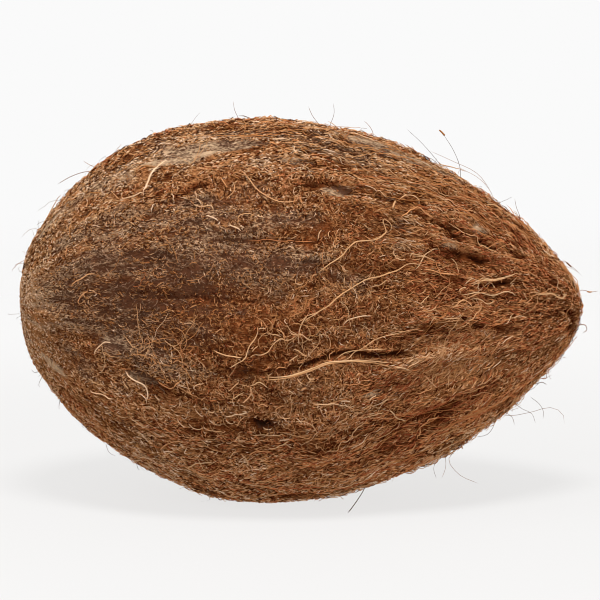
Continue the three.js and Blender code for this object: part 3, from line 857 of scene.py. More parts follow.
class Fibre:
    """A straight fibre with pointed ends, modelled once, of which every fibre is a bent copy."""

    # Where a fibre lies on its UV map: where u and v start, how far its tone and its hue take them, and how
    # far they change across and along it.
    U_START, U_TONE, U_ACROSS = 0.02, 0.95, 0.006
    V_START, V_HUE, V_ALONG = 0.04, 0.88, 0.04

    def __init__(self, sides, rings):
        deselect_all()
        bpy.ops.mesh.primitive_cylinder_add(
            vertices=sides, radius=1, depth=2, end_fill_type="TRIFAN", location=(0, 0, 0)
        )
        mesh = bpy.context.object.data
        bpy.ops.object.mode_set(mode="EDIT")
        bpy.ops.mesh.select_all(action="DESELECT")
        bpy.ops.mesh.select_mode(type="EDGE")
        bpy.ops.object.mode_set(mode="OBJECT")
        for edge in mesh.edges:
            ends = [mesh.vertices[i].co for i in edge.vertices]
            edge.select = abs(ends[0].z - ends[1].z) > 1
        bpy.ops.object.mode_set(mode="EDIT")
        if rings == 1:
            bpy.ops.mesh.edge_collapse()
        elif rings > 2:
            bpy.ops.mesh.subdivide(number_cuts=rings - 2)
        bpy.ops.object.mode_set(mode="OBJECT")
        points = coordinates(mesh)
        at_tip = np.hypot(points[:, 0], points[:, 1]) < 0.5
        share = (points[:, 2] + 1) / 2
        self.across = points[:, :2]
        between = 1 + np.rint(share * (rings - 1))
        self.station = np.where(at_tip, np.where(share > 0.5, rings + 1, 0), between).astype(int)
        self.stations = rings + 2
        self.share = np.linspace(0, 1, self.stations)
        self.corners = np.array([corner.vertex_index for corner in mesh.loops])
        self.starts = np.array([face.loop_start for face in mesh.polygons])
        bpy.data.objects.remove(bpy.context.object)

    def sweep(self, name, routes, lies, radii, flat, tones, hues):
        """One mesh of a copy along each route. routes and lies are points and upward directions, radii and
        tones the half thickness and the paleness at each point, flat how thick each copy is for its width,
        and hues its hue, from 0, red, to 1, grey."""
        count = len(routes)
        ahead = np.gradient(routes, axis=1)
        ahead /= np.linalg.norm(ahead, axis=2, keepdims=True).clip(TINY)
        side = np.cross(lies, ahead)
        side /= np.linalg.norm(side, axis=2, keepdims=True).clip(TINY)
        up = np.cross(ahead, side)
        radii = radii.copy()
        radii[:, 0] = radii[:, -1] = 0
        reach = radii[:, self.station, None]
        points = routes[:, self.station] + reach * (
            side[:, self.station] * self.across[:, 0, None]
            + up[:, self.station] * self.across[:, 1, None] * flat[:, None, None]
        )
        points[..., 2] = np.maximum(points[..., 2], 0)
        vertices = len(self.station)
        corners = (self.corners + vertices * np.arange(count)[:, None]).ravel()
        starts = (self.starts + len(self.corners) * np.arange(count)[:, None]).ravel()

        mesh = bpy.data.meshes.new(name)
        mesh.vertices.add(count * vertices)
        mesh.vertices.foreach_set("co", points.ravel())
        mesh.loops.add(len(corners))
        mesh.loops.foreach_set("vertex_index", corners)
        mesh.polygons.add(len(starts))
        mesh.polygons.foreach_set("loop_start", starts)
        mesh.update(calc_edges=True)
        mesh.shade_smooth()

        along = self.station / (self.stations - 1)
        tones = np.clip(tones, 0, 1)[:, self.station]
        u = self.U_START + self.U_TONE * tones + self.U_ACROSS * self.across[:, 0]
        v = self.V_START + self.V_HUE * np.clip(hues, 0, 1)[:, None] + self.V_ALONG * along
        layer = mesh.uv_layers.new(name="OFBake")
        places = np.stack([u[:, self.corners], v[:, self.corners]], axis=-1)
        layer.uv.foreach_set("vector", places.astype(np.float32).ravel())
        piece = bpy.data.objects.new(name, mesh)
        bpy.context.scene.collection.objects.link(piece)
        return piece


def lie_of(x, angle):
    """The direction away from the coat at each place."""
    along, out = COAT.normal(x)
    return np.stack([along, -out * np.cos(angle), out * np.sin(angle)], axis=-1)


def smooth_route(places, points):
    """The route on the coat under places on the grid, as so many points evenly along it, with its lifts."""
    places = np.array([(*place, 0.0)[:3] for place in COAT.under_grid(places)])
    across = places[:, 1] * math.radians(1) * STRAND_RADIUS
    return drawn_through(places, points, np.stack([places[:, 0], across], axis=1))


def drawn_through(places, points, spaced=None):
    """A smooth line through places, as so many points evenly along it."""
    places = np.array(places, float)
    steps = np.linalg.norm(np.diff(places if spaced is None else spaced, axis=0), axis=1)
    along = np.concatenate([[0], np.cumsum(steps)])
    slopes = np.gradient(places, along, axis=0)
    at = np.linspace(0, along[-1], points)
    i = np.clip(np.searchsorted(along, at, side="right") - 1, 0, len(along) - 2)
    gap = (along[i + 1] - along[i])[:, None]
    t = (at[:, None] - along[i][:, None]) / gap
    return (
        (2 * t**3 - 3 * t**2 + 1) * places[i]
        + (t**3 - 2 * t**2 + t) * gap * slopes[i]
        + (3 * t**2 - 2 * t**3) * places[i + 1]
        + (t**3 - t**2) * gap * slopes[i + 1]
    )


class Socket:
    """A shader value that takes part in Python arithmetic."""

    def __init__(self, finish, socket):
        self.finish = finish
        self.socket = socket

    def maths(self, operation, *values):
        return self.finish.node("Math", {"operation": operation}, dict(enumerate(values)))

    def __add__(self, other):
        return self.maths("ADD", self, other)

    def __sub__(self, other):
        return self.maths("SUBTRACT", self, other)

    def __mul__(self, other):
        return self.maths("MULTIPLY", self, other)

    def __rsub__(self, other):
        return self.maths("SUBTRACT", other, self)

    def larger(self, other):
        return self.maths("MAXIMUM", self, other)

    def far_from(self, other):
        return self.maths("ABSOLUTE", self - other)

    def step(self, low, high):
        """0 below low, 1 above high, and smooth between them."""
        settings = {"interpolation_type": "SMOOTHSTEP"}
        return self.finish.node("MapRange", settings, {"Value": self, "From Min": low, "From Max": high})


class Finish:
    """A material and its nodes."""

    def __init__(self, name):
        self.material = bpy.data.materials.new(name)
        self.material.use_nodes = True
        self.nodes = self.material.node_tree.nodes
        self.links = self.material.node_tree.links
        self.shader = self.nodes["Principled BSDF"]

    def node(self, kind, settings=None, values=None, output=0):
        node = self.nodes.new("ShaderNode" + kind)
        for name, value in (settings or {}).items():
            if name == "stops":
                self.set_stops(node.color_ramp, value)
            else:
                setattr(node, name, value)
        for name, value in (values or {}).items():
            self.put(node.inputs[name], value)
        return Socket(self, node.outputs[output])

    def attribute(self, name, output="Fac"):
        return self.node("Attribute", {"attribute_name": name}, output=output)

    def set_stops(self, ramp, stops):
        while len(ramp.elements) < len(stops):
            ramp.elements.new(1)
        for element, (place, colour) in zip(ramp.elements, stops):
            element.position = place
            element.color = (*colour, 1)

    def put(self, socket, value):
        if isinstance(value, Socket):
            self.links.new(value.socket, socket)
        elif socket.type == "RGBA" and len(value) == 3:
            socket.default_value = (*value, 1)
        else:
            socket.default_value = value

    def mix(self, share, first, second):
        """first where share is 0 and second where it is 1, as colours."""
        node = self.nodes.new("ShaderNodeMix")
        node.data_type = "RGBA"
        for socket, value in zip((node.inputs[0], node.inputs[6], node.inputs[7]), (share, first, second)):
            self.put(socket, value)
        return Socket(self, node.outputs[2])

    def shade(self, **values):
        for name, value in values.items():
            self.put(self.shader.inputs[name.replace("_", " ")], value)
        return self.material


# The noises of the coat's material: how many of their lumps go to a metre, detail and distortion.
BLOTCHES = (330, 4, 0)
SPECKLE = (1500, 2, 0.8)
GRIT = (2400, 1, 0.6)
PATCHES = (700, 1, 0)
STREAKS = (1500, 3, 0)
# How far noise is drawn out along the nut, more so the smaller the number, and how far the streaks are.
DRAWN_OUT, STREAKED = 0.45, 0.16
# Layers of threads: how far drawn out, lumps to a metre, width, shift and strength.
THREADS = [
    (DRAWN_OUT, 1000, 0.08, 0.31, 1),
    (DRAWN_OUT, 1400, 0.09, 0.74, 1),
    (1, 1200, 0.08, 0.12, 0.9),
    (DRAWN_OUT, 2200, 0.12, 0.53, 0.7),
]
THREAD_HEIGHT, SPECKLE_HEIGHT, BLOTCH_HEIGHT, STREAK_HEIGHT = 0.45, 0.35, 0.4, 0.2


def coat_finish(colours):
    """Matted coir: dark pith with pale threads through it, worn to a smooth grey skin in places, and painted
    near black in its crevices as shade.
    """
    finish = Finish("coir_coat")
    wound = finish.attribute("wound", "Vector")
    bare, pale, hue, deep = (finish.attribute(name) for name in ("bare", "pale", "hue", "deep"))

    def stretched(share):
        return finish.node("Mapping", None, {"Vector": wound, "Scale": (share, 1, 1)})

    def noise(vector, lumps, detail, distortion):
        values = {"Vector": vector, "Scale": lumps, "Detail": detail, "Distortion": distortion}
        return finish.node("TexNoise", None, values)

    def threads(share, lumps, width, shift, strength):
        """Curling lines: where a smooth noise crosses its middle."""
        moved = finish.node("Mapping", None, {"Vector": stretched(share), "Location": (shift, shift, shift)})
        return (1 - noise(moved, lumps, 1.5, 0.8).far_from(0.5).step(0.3 * width, width)) * strength

    drawn_out = stretched(DRAWN_OUT)
    blotches = noise(drawn_out, *BLOTCHES)
    speckle = noise(drawn_out, *SPECKLE)
    grit = noise(drawn_out, *GRIT).step(0.4, 0.6)
    streaks = noise(stretched(STREAKED), *STREAKS)
    thread, *layers = (threads(*layer) for layer in THREADS)
    for layer in layers:
        thread = thread.larger(layer)
    covered = 1 - bare * 0.6

    # pale carries painted light and shade, so the dark pith falls partly where shade would, in hollows,
    # crevices and grooves.
    shade = blotches * 0.7 + pale * 0.7 + grit * 0.4 - 0.05
    pith = finish.mix(shade.step(0.3, 0.9), colours.pith_dark, colours.pith_warm)
    lit = shade * 0.9 + noise(wound, *PATCHES) * 0.6 - 0.3
    felt = finish.mix(lit.step(0.1, 0.8), colours.pith_warm, colours.thread)
    coir = finish.mix(thread * covered, pith, felt)
    worn = streaks * 0.6 + grit * 0.4 + blotches * 0.3 + pale * 0.8 - 0.15
    skin = finish.mix(worn.step(0.2, 0.75), colours.skin_dark, colours.skin_pale)
    coir = finish.mix(hue.step(0.4, 0.9) * 0.7, coir, skin)
    even = streaks * 0.5 + grit * 0.25 + blotches * 0.3 + pale * 0.8 + 0.03
    smooth_skin = finish.mix(even.step(0.2, 0.75), colours.skin_dark, colours.skin_pale)
    colour = finish.mix(bare.step(0.15, 0.9) * 0.85, coir, smooth_skin)
    # Painted shade: the crevices turn near black.
    colour = finish.mix(deep.step(0.45, 0.95) * 0.9, colour, colours.crevice)
    height = (thread * THREAD_HEIGHT + speckle * SPECKLE_HEIGHT) * covered * MM
    height = height + blotches * covered * (BLOTCH_HEIGHT * MM) + streaks * (STREAK_HEIGHT * MM)
    bump = finish.node("Bump", None, {"Height": height, "Distance": 1.0, "Strength": 1.0})
    return finish.shade(Base_Color=colour, Roughness=0.85, Normal=bump, Specular_IOR_Level=0)


def fibre_finish(name, colours):
    """Coir fibres: u picks how pale a fibre is, and v how red it is, from red through golden to grey."""
    finish = Finish(name)
    where = finish.node("UVMap", {"uv_map": "OFBake"})
    pale = finish.node("SeparateXYZ", None, {"Vector": where}, output="X")
    hue = finish.node("SeparateXYZ", None, {"Vector": where}, output="Y")

    def ramp(*stops):
        return finish.node("ValToRGB", {"stops": stops}, {"Fac": pale})

    dark, straw = (0.0, colours.fibre_dark), (1.0, colours.fibre_straw)
    red = ramp(dark, (0.45, colours.fibre_red), (0.8, colours.fibre_orange), (1.0, colours.fibre_gold))
    golden = ramp(dark, (0.5, colours.fibre_brown), (0.8, colours.fibre_gold), straw)
    grey = ramp((0.0, colours.skin_dark), (0.7, colours.fibre_grey), straw)
    colour = finish.mix(hue.step(0.6, 0.9), finish.mix(hue.step(0.1, 0.5), red, golden), grey)
    return finish.shade(Base_Color=colour, Roughness=0.65, Specular_IOR_Level=0)


def fibre_material():
    name = "coir_fibre"
    return bpy.data.materials.get(name) or fibre_finish(name, bpy.context.scene.coir_colours)


def lay_fibres(name, fibre, xs, angles, lifts, radii, flat, tones, hues):
    """One finished piece of fibres along routes that run at so many mm over the coat."""
    piece = fibre.sweep(name, COAT.point(xs, angles, lifts), lie_of(xs, angles), radii, flat, tones, hues)
    settle(piece, fibre_material())


def colour_setting(name, description, code):
    return FloatVectorProperty(name=name, description=description, subtype="COLOR", default=linear(code))


def count_setting(name, description, count, least=1):
    return IntProperty(name=name, description=description, default=count, min=least)


def length_setting(name, description, length):
    return FloatProperty(name=name, description=description, default=length * MM, unit="LENGTH", precision=5)


def power_setting(name, description, watts):
    return FloatProperty(name=name, description=description, default=watts, unit="POWER")


class CoirColours(bpy.types.PropertyGroup):
    """The colours of the coir."""

    # The dark pith is partly painted shade, in the hollows, crevices and grooves of the coat.
    pith_dark: colour_setting("Dark pith", "The deepest parts of the coat", "260c03")
    pith_warm: colour_setting("Warm pith", "The coat between its fibres", "5c2f16")
    # Painted shade at the bottom of the crevices.
    crevice: colour_setting("Crevice", "The bottom of the crevices", "180803")
    thread: colour_setting("Threads", "Fibres felted into the coat", "a06e45")
    skin_dark: colour_setting("Dark skin", "Worn places in shade", "4a3123")
    skin_pale: colour_setting("Pale skin", "Worn places in light", "ae9274")
    fibre_dark: colour_setting("Dark fibre", "The darkest fibres", "310d02")
    fibre_red: colour_setting("Red fibre", "Reddish brown fibres", "934b2d")
    fibre_orange: colour_setting("Orange fibre", "Paler fibres of the reddest coir", "bd7d4c")
    fibre_brown: colour_setting("Brown fibre", "Fibres of middle tone", "a26c3e")
    fibre_grey: colour_setting("Grey fibre", "Weathered fibres", "94735a")
    fibre_gold: colour_setting("Golden fibre", "Pale golden fibres", "b8916a")
    fibre_straw: colour_setting("Straw fibre", "The palest fibres", "d3b599")


class CoirFibres(bpy.types.PropertyGroup):
    """How many fibres there are and how thick they are."""

    grain_count: count_setting("Grains", "The shortest fibres, over the whole coat", 78000, 100)
    grain_length: length_setting("Grain length", "Middle length of the shortest fibres", 1.3)
    grain_thickness: length_setting("Grain thickness", "Middle thickness of the shortest fibres", 0.26)
    crumb_count: count_setting("Crumbs", "Bent fibres among the grains", 14200, 100)
    crumb_length: length_setting("Crumb length", "Middle length of the crumbs", 1.8)
    crumb_thickness: length_setting("Crumb thickness", "Middle thickness of the crumbs", 0.25)
    fuzz_count: count_setting("Fuzz", "Short curling fibres over the crumbs", 5000, 100)
    fuzz_length: length_setting("Fuzz length", "Middle length of the fuzz", 2.2)
    fuzz_thickness: length_setting("Fuzz thickness", "Middle thickness of the fuzz", 0.22)
    curl_count: count_setting("Curls", "Middling fibres that curl", 380)
    curl_thickness: length_setting("Curl thickness", "Middle thickness of the curls", 0.21)
    strand_count: count_setting("Loose strands", "Long strands besides those at the front", 80)
    hair_count: count_setting("Flyaway hairs", "Thin hairs that stand off the coat", 420)
    hair_reach: length_setting("Hair reach", "How far the longest hairs stand off", 6)


class StageSettings(bpy.types.PropertyGroup):
    """The floor, the light and the camera."""

    elevation: FloatProperty(
        name="Elevation", description="Height of the view", default=ELEVATION, subtype="ANGLE"
    )
    distance: FloatProperty(
        name="Distance", description="From the lens to the nut", default=DISTANCE, unit="LENGTH"
    )
    lens: FloatProperty(
        name="Lens", description="Focal length in millimetres", default=LENS, unit="CAMERA"
    )
    filter_width: FloatProperty(
        name="Pixel filter", description="How many pixels the picture is smoothed over", default=1.05
    )
    floor_colour: FloatVectorProperty(
        name="Floor", description="Colour of the floor", subtype="COLOR", default=(0.095, 0.095, 0.095)
    )
    backdrop_colour: colour_setting("Backdrop", "Colour behind the nut", "fafafa")
    daylight: FloatProperty(
        name="Daylight", description="Strength of the light from all round", default=0.57
    )
    key_power: power_setting("Overhead light", "Power of the large soft light above", 11.5)
    side_power: power_setting("Side light", "Power of the soft light from the left", 4)
    front_power: power_setting("Front light", "Power of the low soft light in front", 9)


class COCONUT_OT_coat(bpy.types.Operator):
    """Model the coat of matted coir"""

    bl_idname = "coconut.coat"
    bl_label = "Coat"

    # What the lumps add to the paleness that the material reads, and what crevices, grooves and spots take:
    # painted light on the lumps and painted shade in their hollows, crevices and grooves; the spots are where
    # coir has come off.
    LUMP_SHADE, CREVICE_SHADE, GROOVE_SHADE, SPOT_SHADE = 0.25, 0.6, 0.35, 0.2

    def execute(self, context):
        deselect_all()
        bpy.ops.mesh.primitive_uv_sphere_add(
            segments=COAT_AROUND, ring_count=COAT_RINGS, radius=1, location=(0, 0, 0)
        )
        piece = context.object
        piece.name = piece.data.name = "coir_coat"
        swing, back, down = coordinates(piece.data).T[[2, 1, 0]]
        x = np.where(swing < 0, swing * ROUND_END["length"], swing * STEM_END["length"])
        angle = np.arctan2(-down, -back)
        points = COAT.point(x, angle)
        points[:, 2] = np.maximum(points[:, 2], 0)
        piece.data.vertices.foreach_set("co", points.ravel())
        # pale carries painted light and shade as well as the coir's tone, and deep marks the crevices that
        # are painted near black.
        shades = {"bare": COAT.bareness, "pale": self.shade, "deep": COAT.crevice, "hue": COAT.hue}
        for name, shade in shades.items():
            attribute = piece.data.attributes.new(name, "FLOAT", "POINT")
            attribute.data.foreach_set("value", shade(x, angle).astype(np.float32))
        wound = piece.data.attributes.new("wound", "FLOAT_VECTOR", "POINT")
        wound.data.foreach_set("vector", COAT.wound(x, angle).astype(np.float32).ravel())
        bpy.ops.object.shade_smooth()
        settle(piece, coat_finish(context.scene.coir_colours))
        return {"FINISHED"}

    def shade(self, x, angle):
        shade = COAT.paleness(x, angle) + self.LUMP_SHADE * COAT.matted(x, angle)
        shade = shade - self.CREVICE_SHADE * COAT.crevice(x, angle)
        return shade - self.GROOVE_SHADE * COAT.groove(x, angle) - self.SPOT_SHADE * COAT.spot(x, angle)


class ShortFibres:
    """What lays each kind of short fibre: locks of them, felted together. A kind says how many fibres a lock
    has and how far they scatter, what share short coir loses, how bent, deep and free they are, their middle
    tone and its spread, and how much longer they are where the coir is combed."""

    SIDES = 3
    FLATNESS = 0.9
    # The shares that worn places, crevices and spots lose, and that the back keeps.
    WORN_AWAY, CREVICE_AWAY, SPOT_AWAY, BACK_SHARE = 0.66, 0.85, 0.55, 0.62
    # How far lengths, thicknesses and hues are spread, and the lengths that they stay within.
    LENGTH_SPREAD, THICKNESS_SPREAD, HUE_SPREAD = 0.38, 0.22, 0.18
    LENGTHS = (0.5, 12)
    # How much shorter fibres are where the coir is worn short, and how much flatter they lie there and
    # where it is worn away.
    SHORTENED, SHORT_FLAT, WORN_FLAT = 0.3, 0.45, 0.5
    ROOT_DEPTH = 0.2
    # How much thinner fibres are on worn skin and towards their ends, and thicker where the light falls.
    WORN_THIN, END_THIN, LIT_THICK = 0.25, 0.3, 0.28
    # What the paleness and the lumps of the coat, and a fibre's lift, add to its tone: painted light on lumps
    # and raised fibres, and painted shade in hollows and on low ones.
    PALE_TONE, LUMP_TONE, LIFT_TONE = 0.6, 0.14, 0.12
    # What crevices and grooves take from it as painted shade, what spots take from it, and what every lock
    # adds and how far locks differ.
    CREVICE_TONE, GROOVE_TONE, SPOT_TONE = 0.65, 0.3, 0.14
    LOCK_TONE, LOCK_TONE_SPREAD = 0.04, 0.03
    # How far fibres spread to each side of the middle tone, how much further where the light falls, as
    # painted contrast, and, to the paler side, underneath, as painted light in the shade there, and how much
    # less on worn skin.
    PALER, DARKER, LIT_SPREAD, SHADED_SPREAD, WORN_EVEN = 0.5, 1.35, 0.25, 0.5, 0.6
    PALEST = 0.92
    # The hue that fibres start from, and what the coat's hue, worn skin and spots add to it.
    BASE_HUE, COAT_HUE, WORN_HUE, SPOT_HUE = 0.1, 0.7, 0.35, 0.25

    def cover(self, names, seed, count, length, thickness):
        """Lays so many fibres in all, as one piece of each name."""
        random = np.random.RandomState(seed)
        fibre = Fibre(self.SIDES, self.RINGS)
        for name in names:
            self.lay(name, random, fibre, count // len(names), length / MM, thickness / MM)
        return {"FINISHED"}

    def wanted(self, x, angle):
        front = self.BACK_SHARE + (1 - self.BACK_SHARE) * smooth(np.cos(angle), -0.15, 0.25)
        left = 1 - self.WORN_AWAY * COAT.bareness(x, angle)
        left = left * (1 - self.CREVICE_AWAY * COAT.crevice(x, angle))
        left = left * (1 - self.SPOT_AWAY * COAT.spot(x, angle))
        return left * front * (1 - self.NONE_SHORT * COAT.short(x, angle))

    def set_out(self, random, count):
        """Where fibres start, the course and combing of their lock, and its number."""
        locks = count // self.LOCK
        x, angle = COAT.scatter(random, locks, self.wanted)
        combed = COAT.combed(x, angle)
        heading = random.normal(0, 1, locks) * (1.5 - 1.35 * combed) + COAT.lean(x, angle)
        lock = random.randint(0, locks, count)
        along = random.normal(0, self.LOCK_LENGTH, count)
        aside = random.normal(0, self.LOCK_WIDTH, count)
        course = heading[lock]
        x = np.clip(x[lock] + along * np.cos(course) - aside * np.sin(course), *START_ENDS)
        round_nut = along * np.sin(course) + aside * np.cos(course)
        angle = angle[lock] + round_nut / COAT.radius(x).clip(LEAST_RADIUS)
        return x, angle, course, combed[lock], lock

    def routes(self, random, steps, x, angle, course, combed, length):
        """The ways that the fibres bend over the coat."""
        count = len(x)
        length = length * np.exp(random.normal(0, self.LENGTH_SPREAD, count)) * (1 + self.COMBED_OUT * combed)
        length = (length * (1 - self.SHORTENED * COAT.short(x, angle))).clip(*self.LENGTHS)
        loose = 1.1 - 0.7 * combed
        bend = random.normal(0, 1, count) * (0.7 - 0.5 * combed) * self.BEND
        turns = random.normal(0, 0.4, (count, steps)) * loose[:, None] * self.BEND
        heading = course + random.normal(0, 0.45, count) * loose
        heading = heading + np.where(random.random(count) < 0.5, math.pi, 0)
        return COAT.walk(x, angle, heading, bend[:, None] + turns, length / steps)

    def lifts(self, random, share, x, angle, combed, worn):
        """How deep each fibre is bedded, and how far its points stand off the coat."""
        count = len(x)
        bed = random.uniform(0, self.DEEP, count) ** 1.3
        arch = random.uniform(0.05, 0.35, count)
        free = some(random, count, 0.3 - 0.15 * combed, 0.2, self.FREE)
        lift = bed[:, None] + arch[:, None] * np.sin(math.pi * share) + free[:, None] * share**2
        flat = (1 - self.SHORT_FLAT * COAT.short(x, angle)) * (1 - self.WORN_FLAT * worn)
        return bed, lift * flat[:, None] - self.ROOT_DEPTH * (1 - share) ** 3

    def tones(self, random, middle, bed, lit, shaded, worn, lock):
        """How pale each fibre is, by the middle of its route, its lift, its lock and chance."""
        tone = self.TONE + self.PALE_TONE * COAT.paleness(*middle)
        tone = tone + self.LUMP_TONE * COAT.matted(*middle).clip(-0.9, 0.9) + self.LIFT_TONE * bed
        tone = tone - self.CREVICE_TONE * COAT.crevice(*middle) - self.GROOVE_TONE * COAT.groove(*middle)
        tone = tone - self.SPOT_TONE * COAT.spot(*middle)
        chance = random.normal(0, 1, len(bed))
        paler = chance > 0
        chance = np.where(paler, self.PALER, self.DARKER) * chance * self.TONE_SPREAD
        chance = chance * (1 + self.LIT_SPREAD * lit + self.SHADED_SPREAD * shaded * paler)
        of_locks = random.normal(0, self.LOCK_TONE_SPREAD, len(bed) // self.LOCK)
        return tone + self.LOCK_TONE + of_locks[lock] + chance * (1 - self.WORN_EVEN * worn)

    def hues(self, random, middle, worn):
        """How grey each fibre is, or how red."""
        chance = random.normal(0, self.HUE_SPREAD, len(worn))
        hues = self.BASE_HUE + self.COAT_HUE * COAT.hue(*middle) + chance
        return hues + self.WORN_HUE * worn + self.SPOT_HUE * COAT.spot(*middle)

    def lay(self, name, random, fibre, count, length, thickness):
        share = fibre.share
        x, angle, course, combed, lock = self.set_out(random, count)
        xs, angles = self.routes(random, fibre.stations - 1, x, angle, course, combed, length)
        worn = COAT.bareness(x, angle)
        lit = smooth(np.sin(angle), 0.15, 0.7) * smooth(-x, -34, 4)
        shaded = smooth(-np.sin(angle), 0.2, 0.7)
        bed, lifts = self.lifts(random, share, x, angle, combed, worn)
        uneven = np.exp(random.normal(0, self.THICKNESS_SPREAD, count))
        radius = thickness / 2 * MM * uneven * (1 - self.WORN_THIN * worn) * (1 + self.LIT_THICK * lit)
        radii = radius[:, None] * (1 - self.END_THIN * np.abs(2 * share - 1))
        middle = xs[:, fibre.stations // 2], angles[:, fibre.stations // 2]
        tone = self.tones(random, middle, bed, lit, shaded, worn, lock).clip(0, self.PALEST)
        # Painted light and shade: each fibre is paler in its middle and darker towards its ends, as if they
        # lay in shade.
        tones = tone[:, None] * (0.72 + 0.36 * np.sin(math.pi * (0.15 + 0.7 * share)))
        hues = self.hues(random, middle, worn)
        lay_fibres(name, fibre, xs, angles, lifts, radii, np.full(count, self.FLATNESS), tones, hues)


class COCONUT_OT_grains(ShortFibres, bpy.types.Operator):
    """Cover the coat in the shortest fibres"""

    bl_idname = "coconut.grains"
    bl_label = "Grains"

    RINGS = 1
    LOCK, LOCK_LENGTH, LOCK_WIDTH = 4, 0.8, 0.6
    NONE_SHORT = 0
    BEND = 1.2
    DEEP, FREE = 0.6, 0.7
    TONE, TONE_SPREAD = 0.56, 0.38
    COMBED_OUT = 0.2

    def execute(self, context):
        fibres = context.scene.coir_fibres
        names = [f"coir_grains_{number + 1}" for number in range(GRAIN_PIECES)]
        return self.cover(names, GRAIN_SEED, fibres.grain_count, fibres.grain_length, fibres.grain_thickness)


class COCONUT_OT_crumbs(ShortFibres, bpy.types.Operator):
    """Strew bent crumbs of coir among the grains"""

    bl_idname = "coconut.crumbs"
    bl_label = "Crumbs"

    RINGS = 2
    LOCK, LOCK_LENGTH, LOCK_WIDTH = 4, 0.9, 0.7
    NONE_SHORT = 0.3
    BEND = 1.3
    DEEP, FREE = 0.7, 0.9
    TONE, TONE_SPREAD = 0.57, 0.34
    COMBED_OUT = 0.3

    def execute(self, context):
        fibres = context.scene.coir_fibres
        names = ["coir_crumbs"]
        return self.cover(names, CRUMB_SEED, fibres.crumb_count, fibres.crumb_length, fibres.crumb_thickness)


class COCONUT_OT_fuzz(ShortFibres, bpy.types.Operator):
    """Lay short curling fibres over the crumbs"""

    bl_idname = "coconut.fuzz"
    bl_label = "Fuzz"

    RINGS = 4
    LOCK, LOCK_LENGTH, LOCK_WIDTH = 3, 1.5, 0.8
    NONE_SHORT = 0.85
    BEND = 0.9
    DEEP, FREE = 0.8, 1.2
    TONE, TONE_SPREAD = 0.58, 0.26
    COMBED_OUT = 0.7

    def execute(self, context):
        fibres = context.scene.coir_fibres
        names = ["coir_fuzz"]
        return self.cover(names, FUZZ_SEED, fibres.fuzz_count, fibres.fuzz_length, fibres.fuzz_thickness)


class COCONUT_OT_curls(bpy.types.Operator):
    """Lay middling fibres that curl over the fuzz"""

    bl_idname = "coconut.curls"
    bl_label = "Curls"

    SIDES, RINGS = 3, 11
    LENGTHS = (4, 11)
    LEAN = 0.25
    OVER_COAT, ROOT_DEPTH = 0.7, 0.9
    FREE_SHARE, FREE = 0.35, (0.3, 1.8)
    TONE, TONE_SPREAD = 0.68, 0.12
    # How the fibres of the combed bands differ: longer, less loose, darker, and redder underneath.
    BAND_LENGTH, BAND_LOOSE, BAND_DARK, BAND_RED = 1.8, 0.35, 0.15, 0.2

    def execute(self, context):
        settings = context.scene.coir_fibres
        random = np.random.RandomState(CURL_SEED)
        fibre = Fibre(self.SIDES, self.RINGS)
        points, share = fibre.stations, fibre.share
        x, angle, leans = self.places(random, settings.curl_count)
        count = len(x)
        x = x.clip(*CURL_ENDS)
        in_band = np.arange(count) >= count - sum(number for *_, number in COMBED_BANDS)
        combed = np.where(in_band, 1.0, COAT.combed(x, angle))
        length = random.uniform(*self.LENGTHS, count) * np.where(in_band, self.BAND_LENGTH, 1)
        loose = np.where(in_band, self.BAND_LOOSE, 1)
        bend = random.normal(0, 1, count).clip(-1.8, 1.8) * (0.16 - 0.1 * combed) * loose
        wander = random.normal(0, 0.3, (count, points - 1)) * ((1 - 0.6 * combed) * loose)[:, None]
        heading = random.normal(0, 1, count) * (1.3 - 1.0 * combed) * loose + leans
        xs, angles = COAT.walk(x, angle, heading, bend[:, None] + wander, length / (points - 1))
        lift = self.OVER_COAT + 0.4 * np.sin(math.pi * share) + random.normal(0, 0.1, (count, points))
        free = some(random, count, self.FREE_SHARE, *self.FREE)
        lift = lift + free[:, None] * share**3 - self.ROOT_DEPTH * (1 - share) ** 4
        radii = settings.curl_thickness / 2 * random.uniform(0.75, 1.3, (count, 1)) * (1 - 0.3 * share)
        tones = np.clip(random.normal(self.TONE, self.TONE_SPREAD, (count, 1)), 0.3, 0.95)
        tones = tones * (1.04 - 0.16 * share) - (self.BAND_DARK * in_band)[:, None]
        hues = random.uniform(0.2, 0.75, count) - self.BAND_RED * in_band * (angle < 0)
        lay_fibres("coir_curls", fibre, xs, angles, lift, radii, np.ones(count), tones, hues)
        return {"FINISHED"}

    def places(self, random, count):
        """Where the curls start and how far they lean, with the combed bands last."""

        def near(x, degrees, long, wide, lean, number):
            xs = x + random.normal(0, long, number)
            angles = math.radians(degrees) + random.normal(0, wide / CURL_RADIUS, number)
            return np.array([xs, angles, np.full(number, lean)])

        x, angle = COAT.scatter(random, count, self.wanted)
        starts = [np.array([x, angle, np.full(count, self.LEAN)])]
        for x, degrees, spread, number in TANGLES:
            starts.append(near(x, degrees, 0.6 * spread, 0.35 * spread, self.LEAN, number))
        for x, degrees, long, wide, lean, number in COMBED_BANDS:
            starts.append(near(x, degrees, 0.6 * long, 0.6 * wide, math.radians(lean), number))
        return np.concatenate(starts, axis=1)

    def wanted(self, x, angle):
        return (1 - 0.6 * COAT.bareness(x, angle)) * (1 - 0.9 * COAT.short(x, angle))


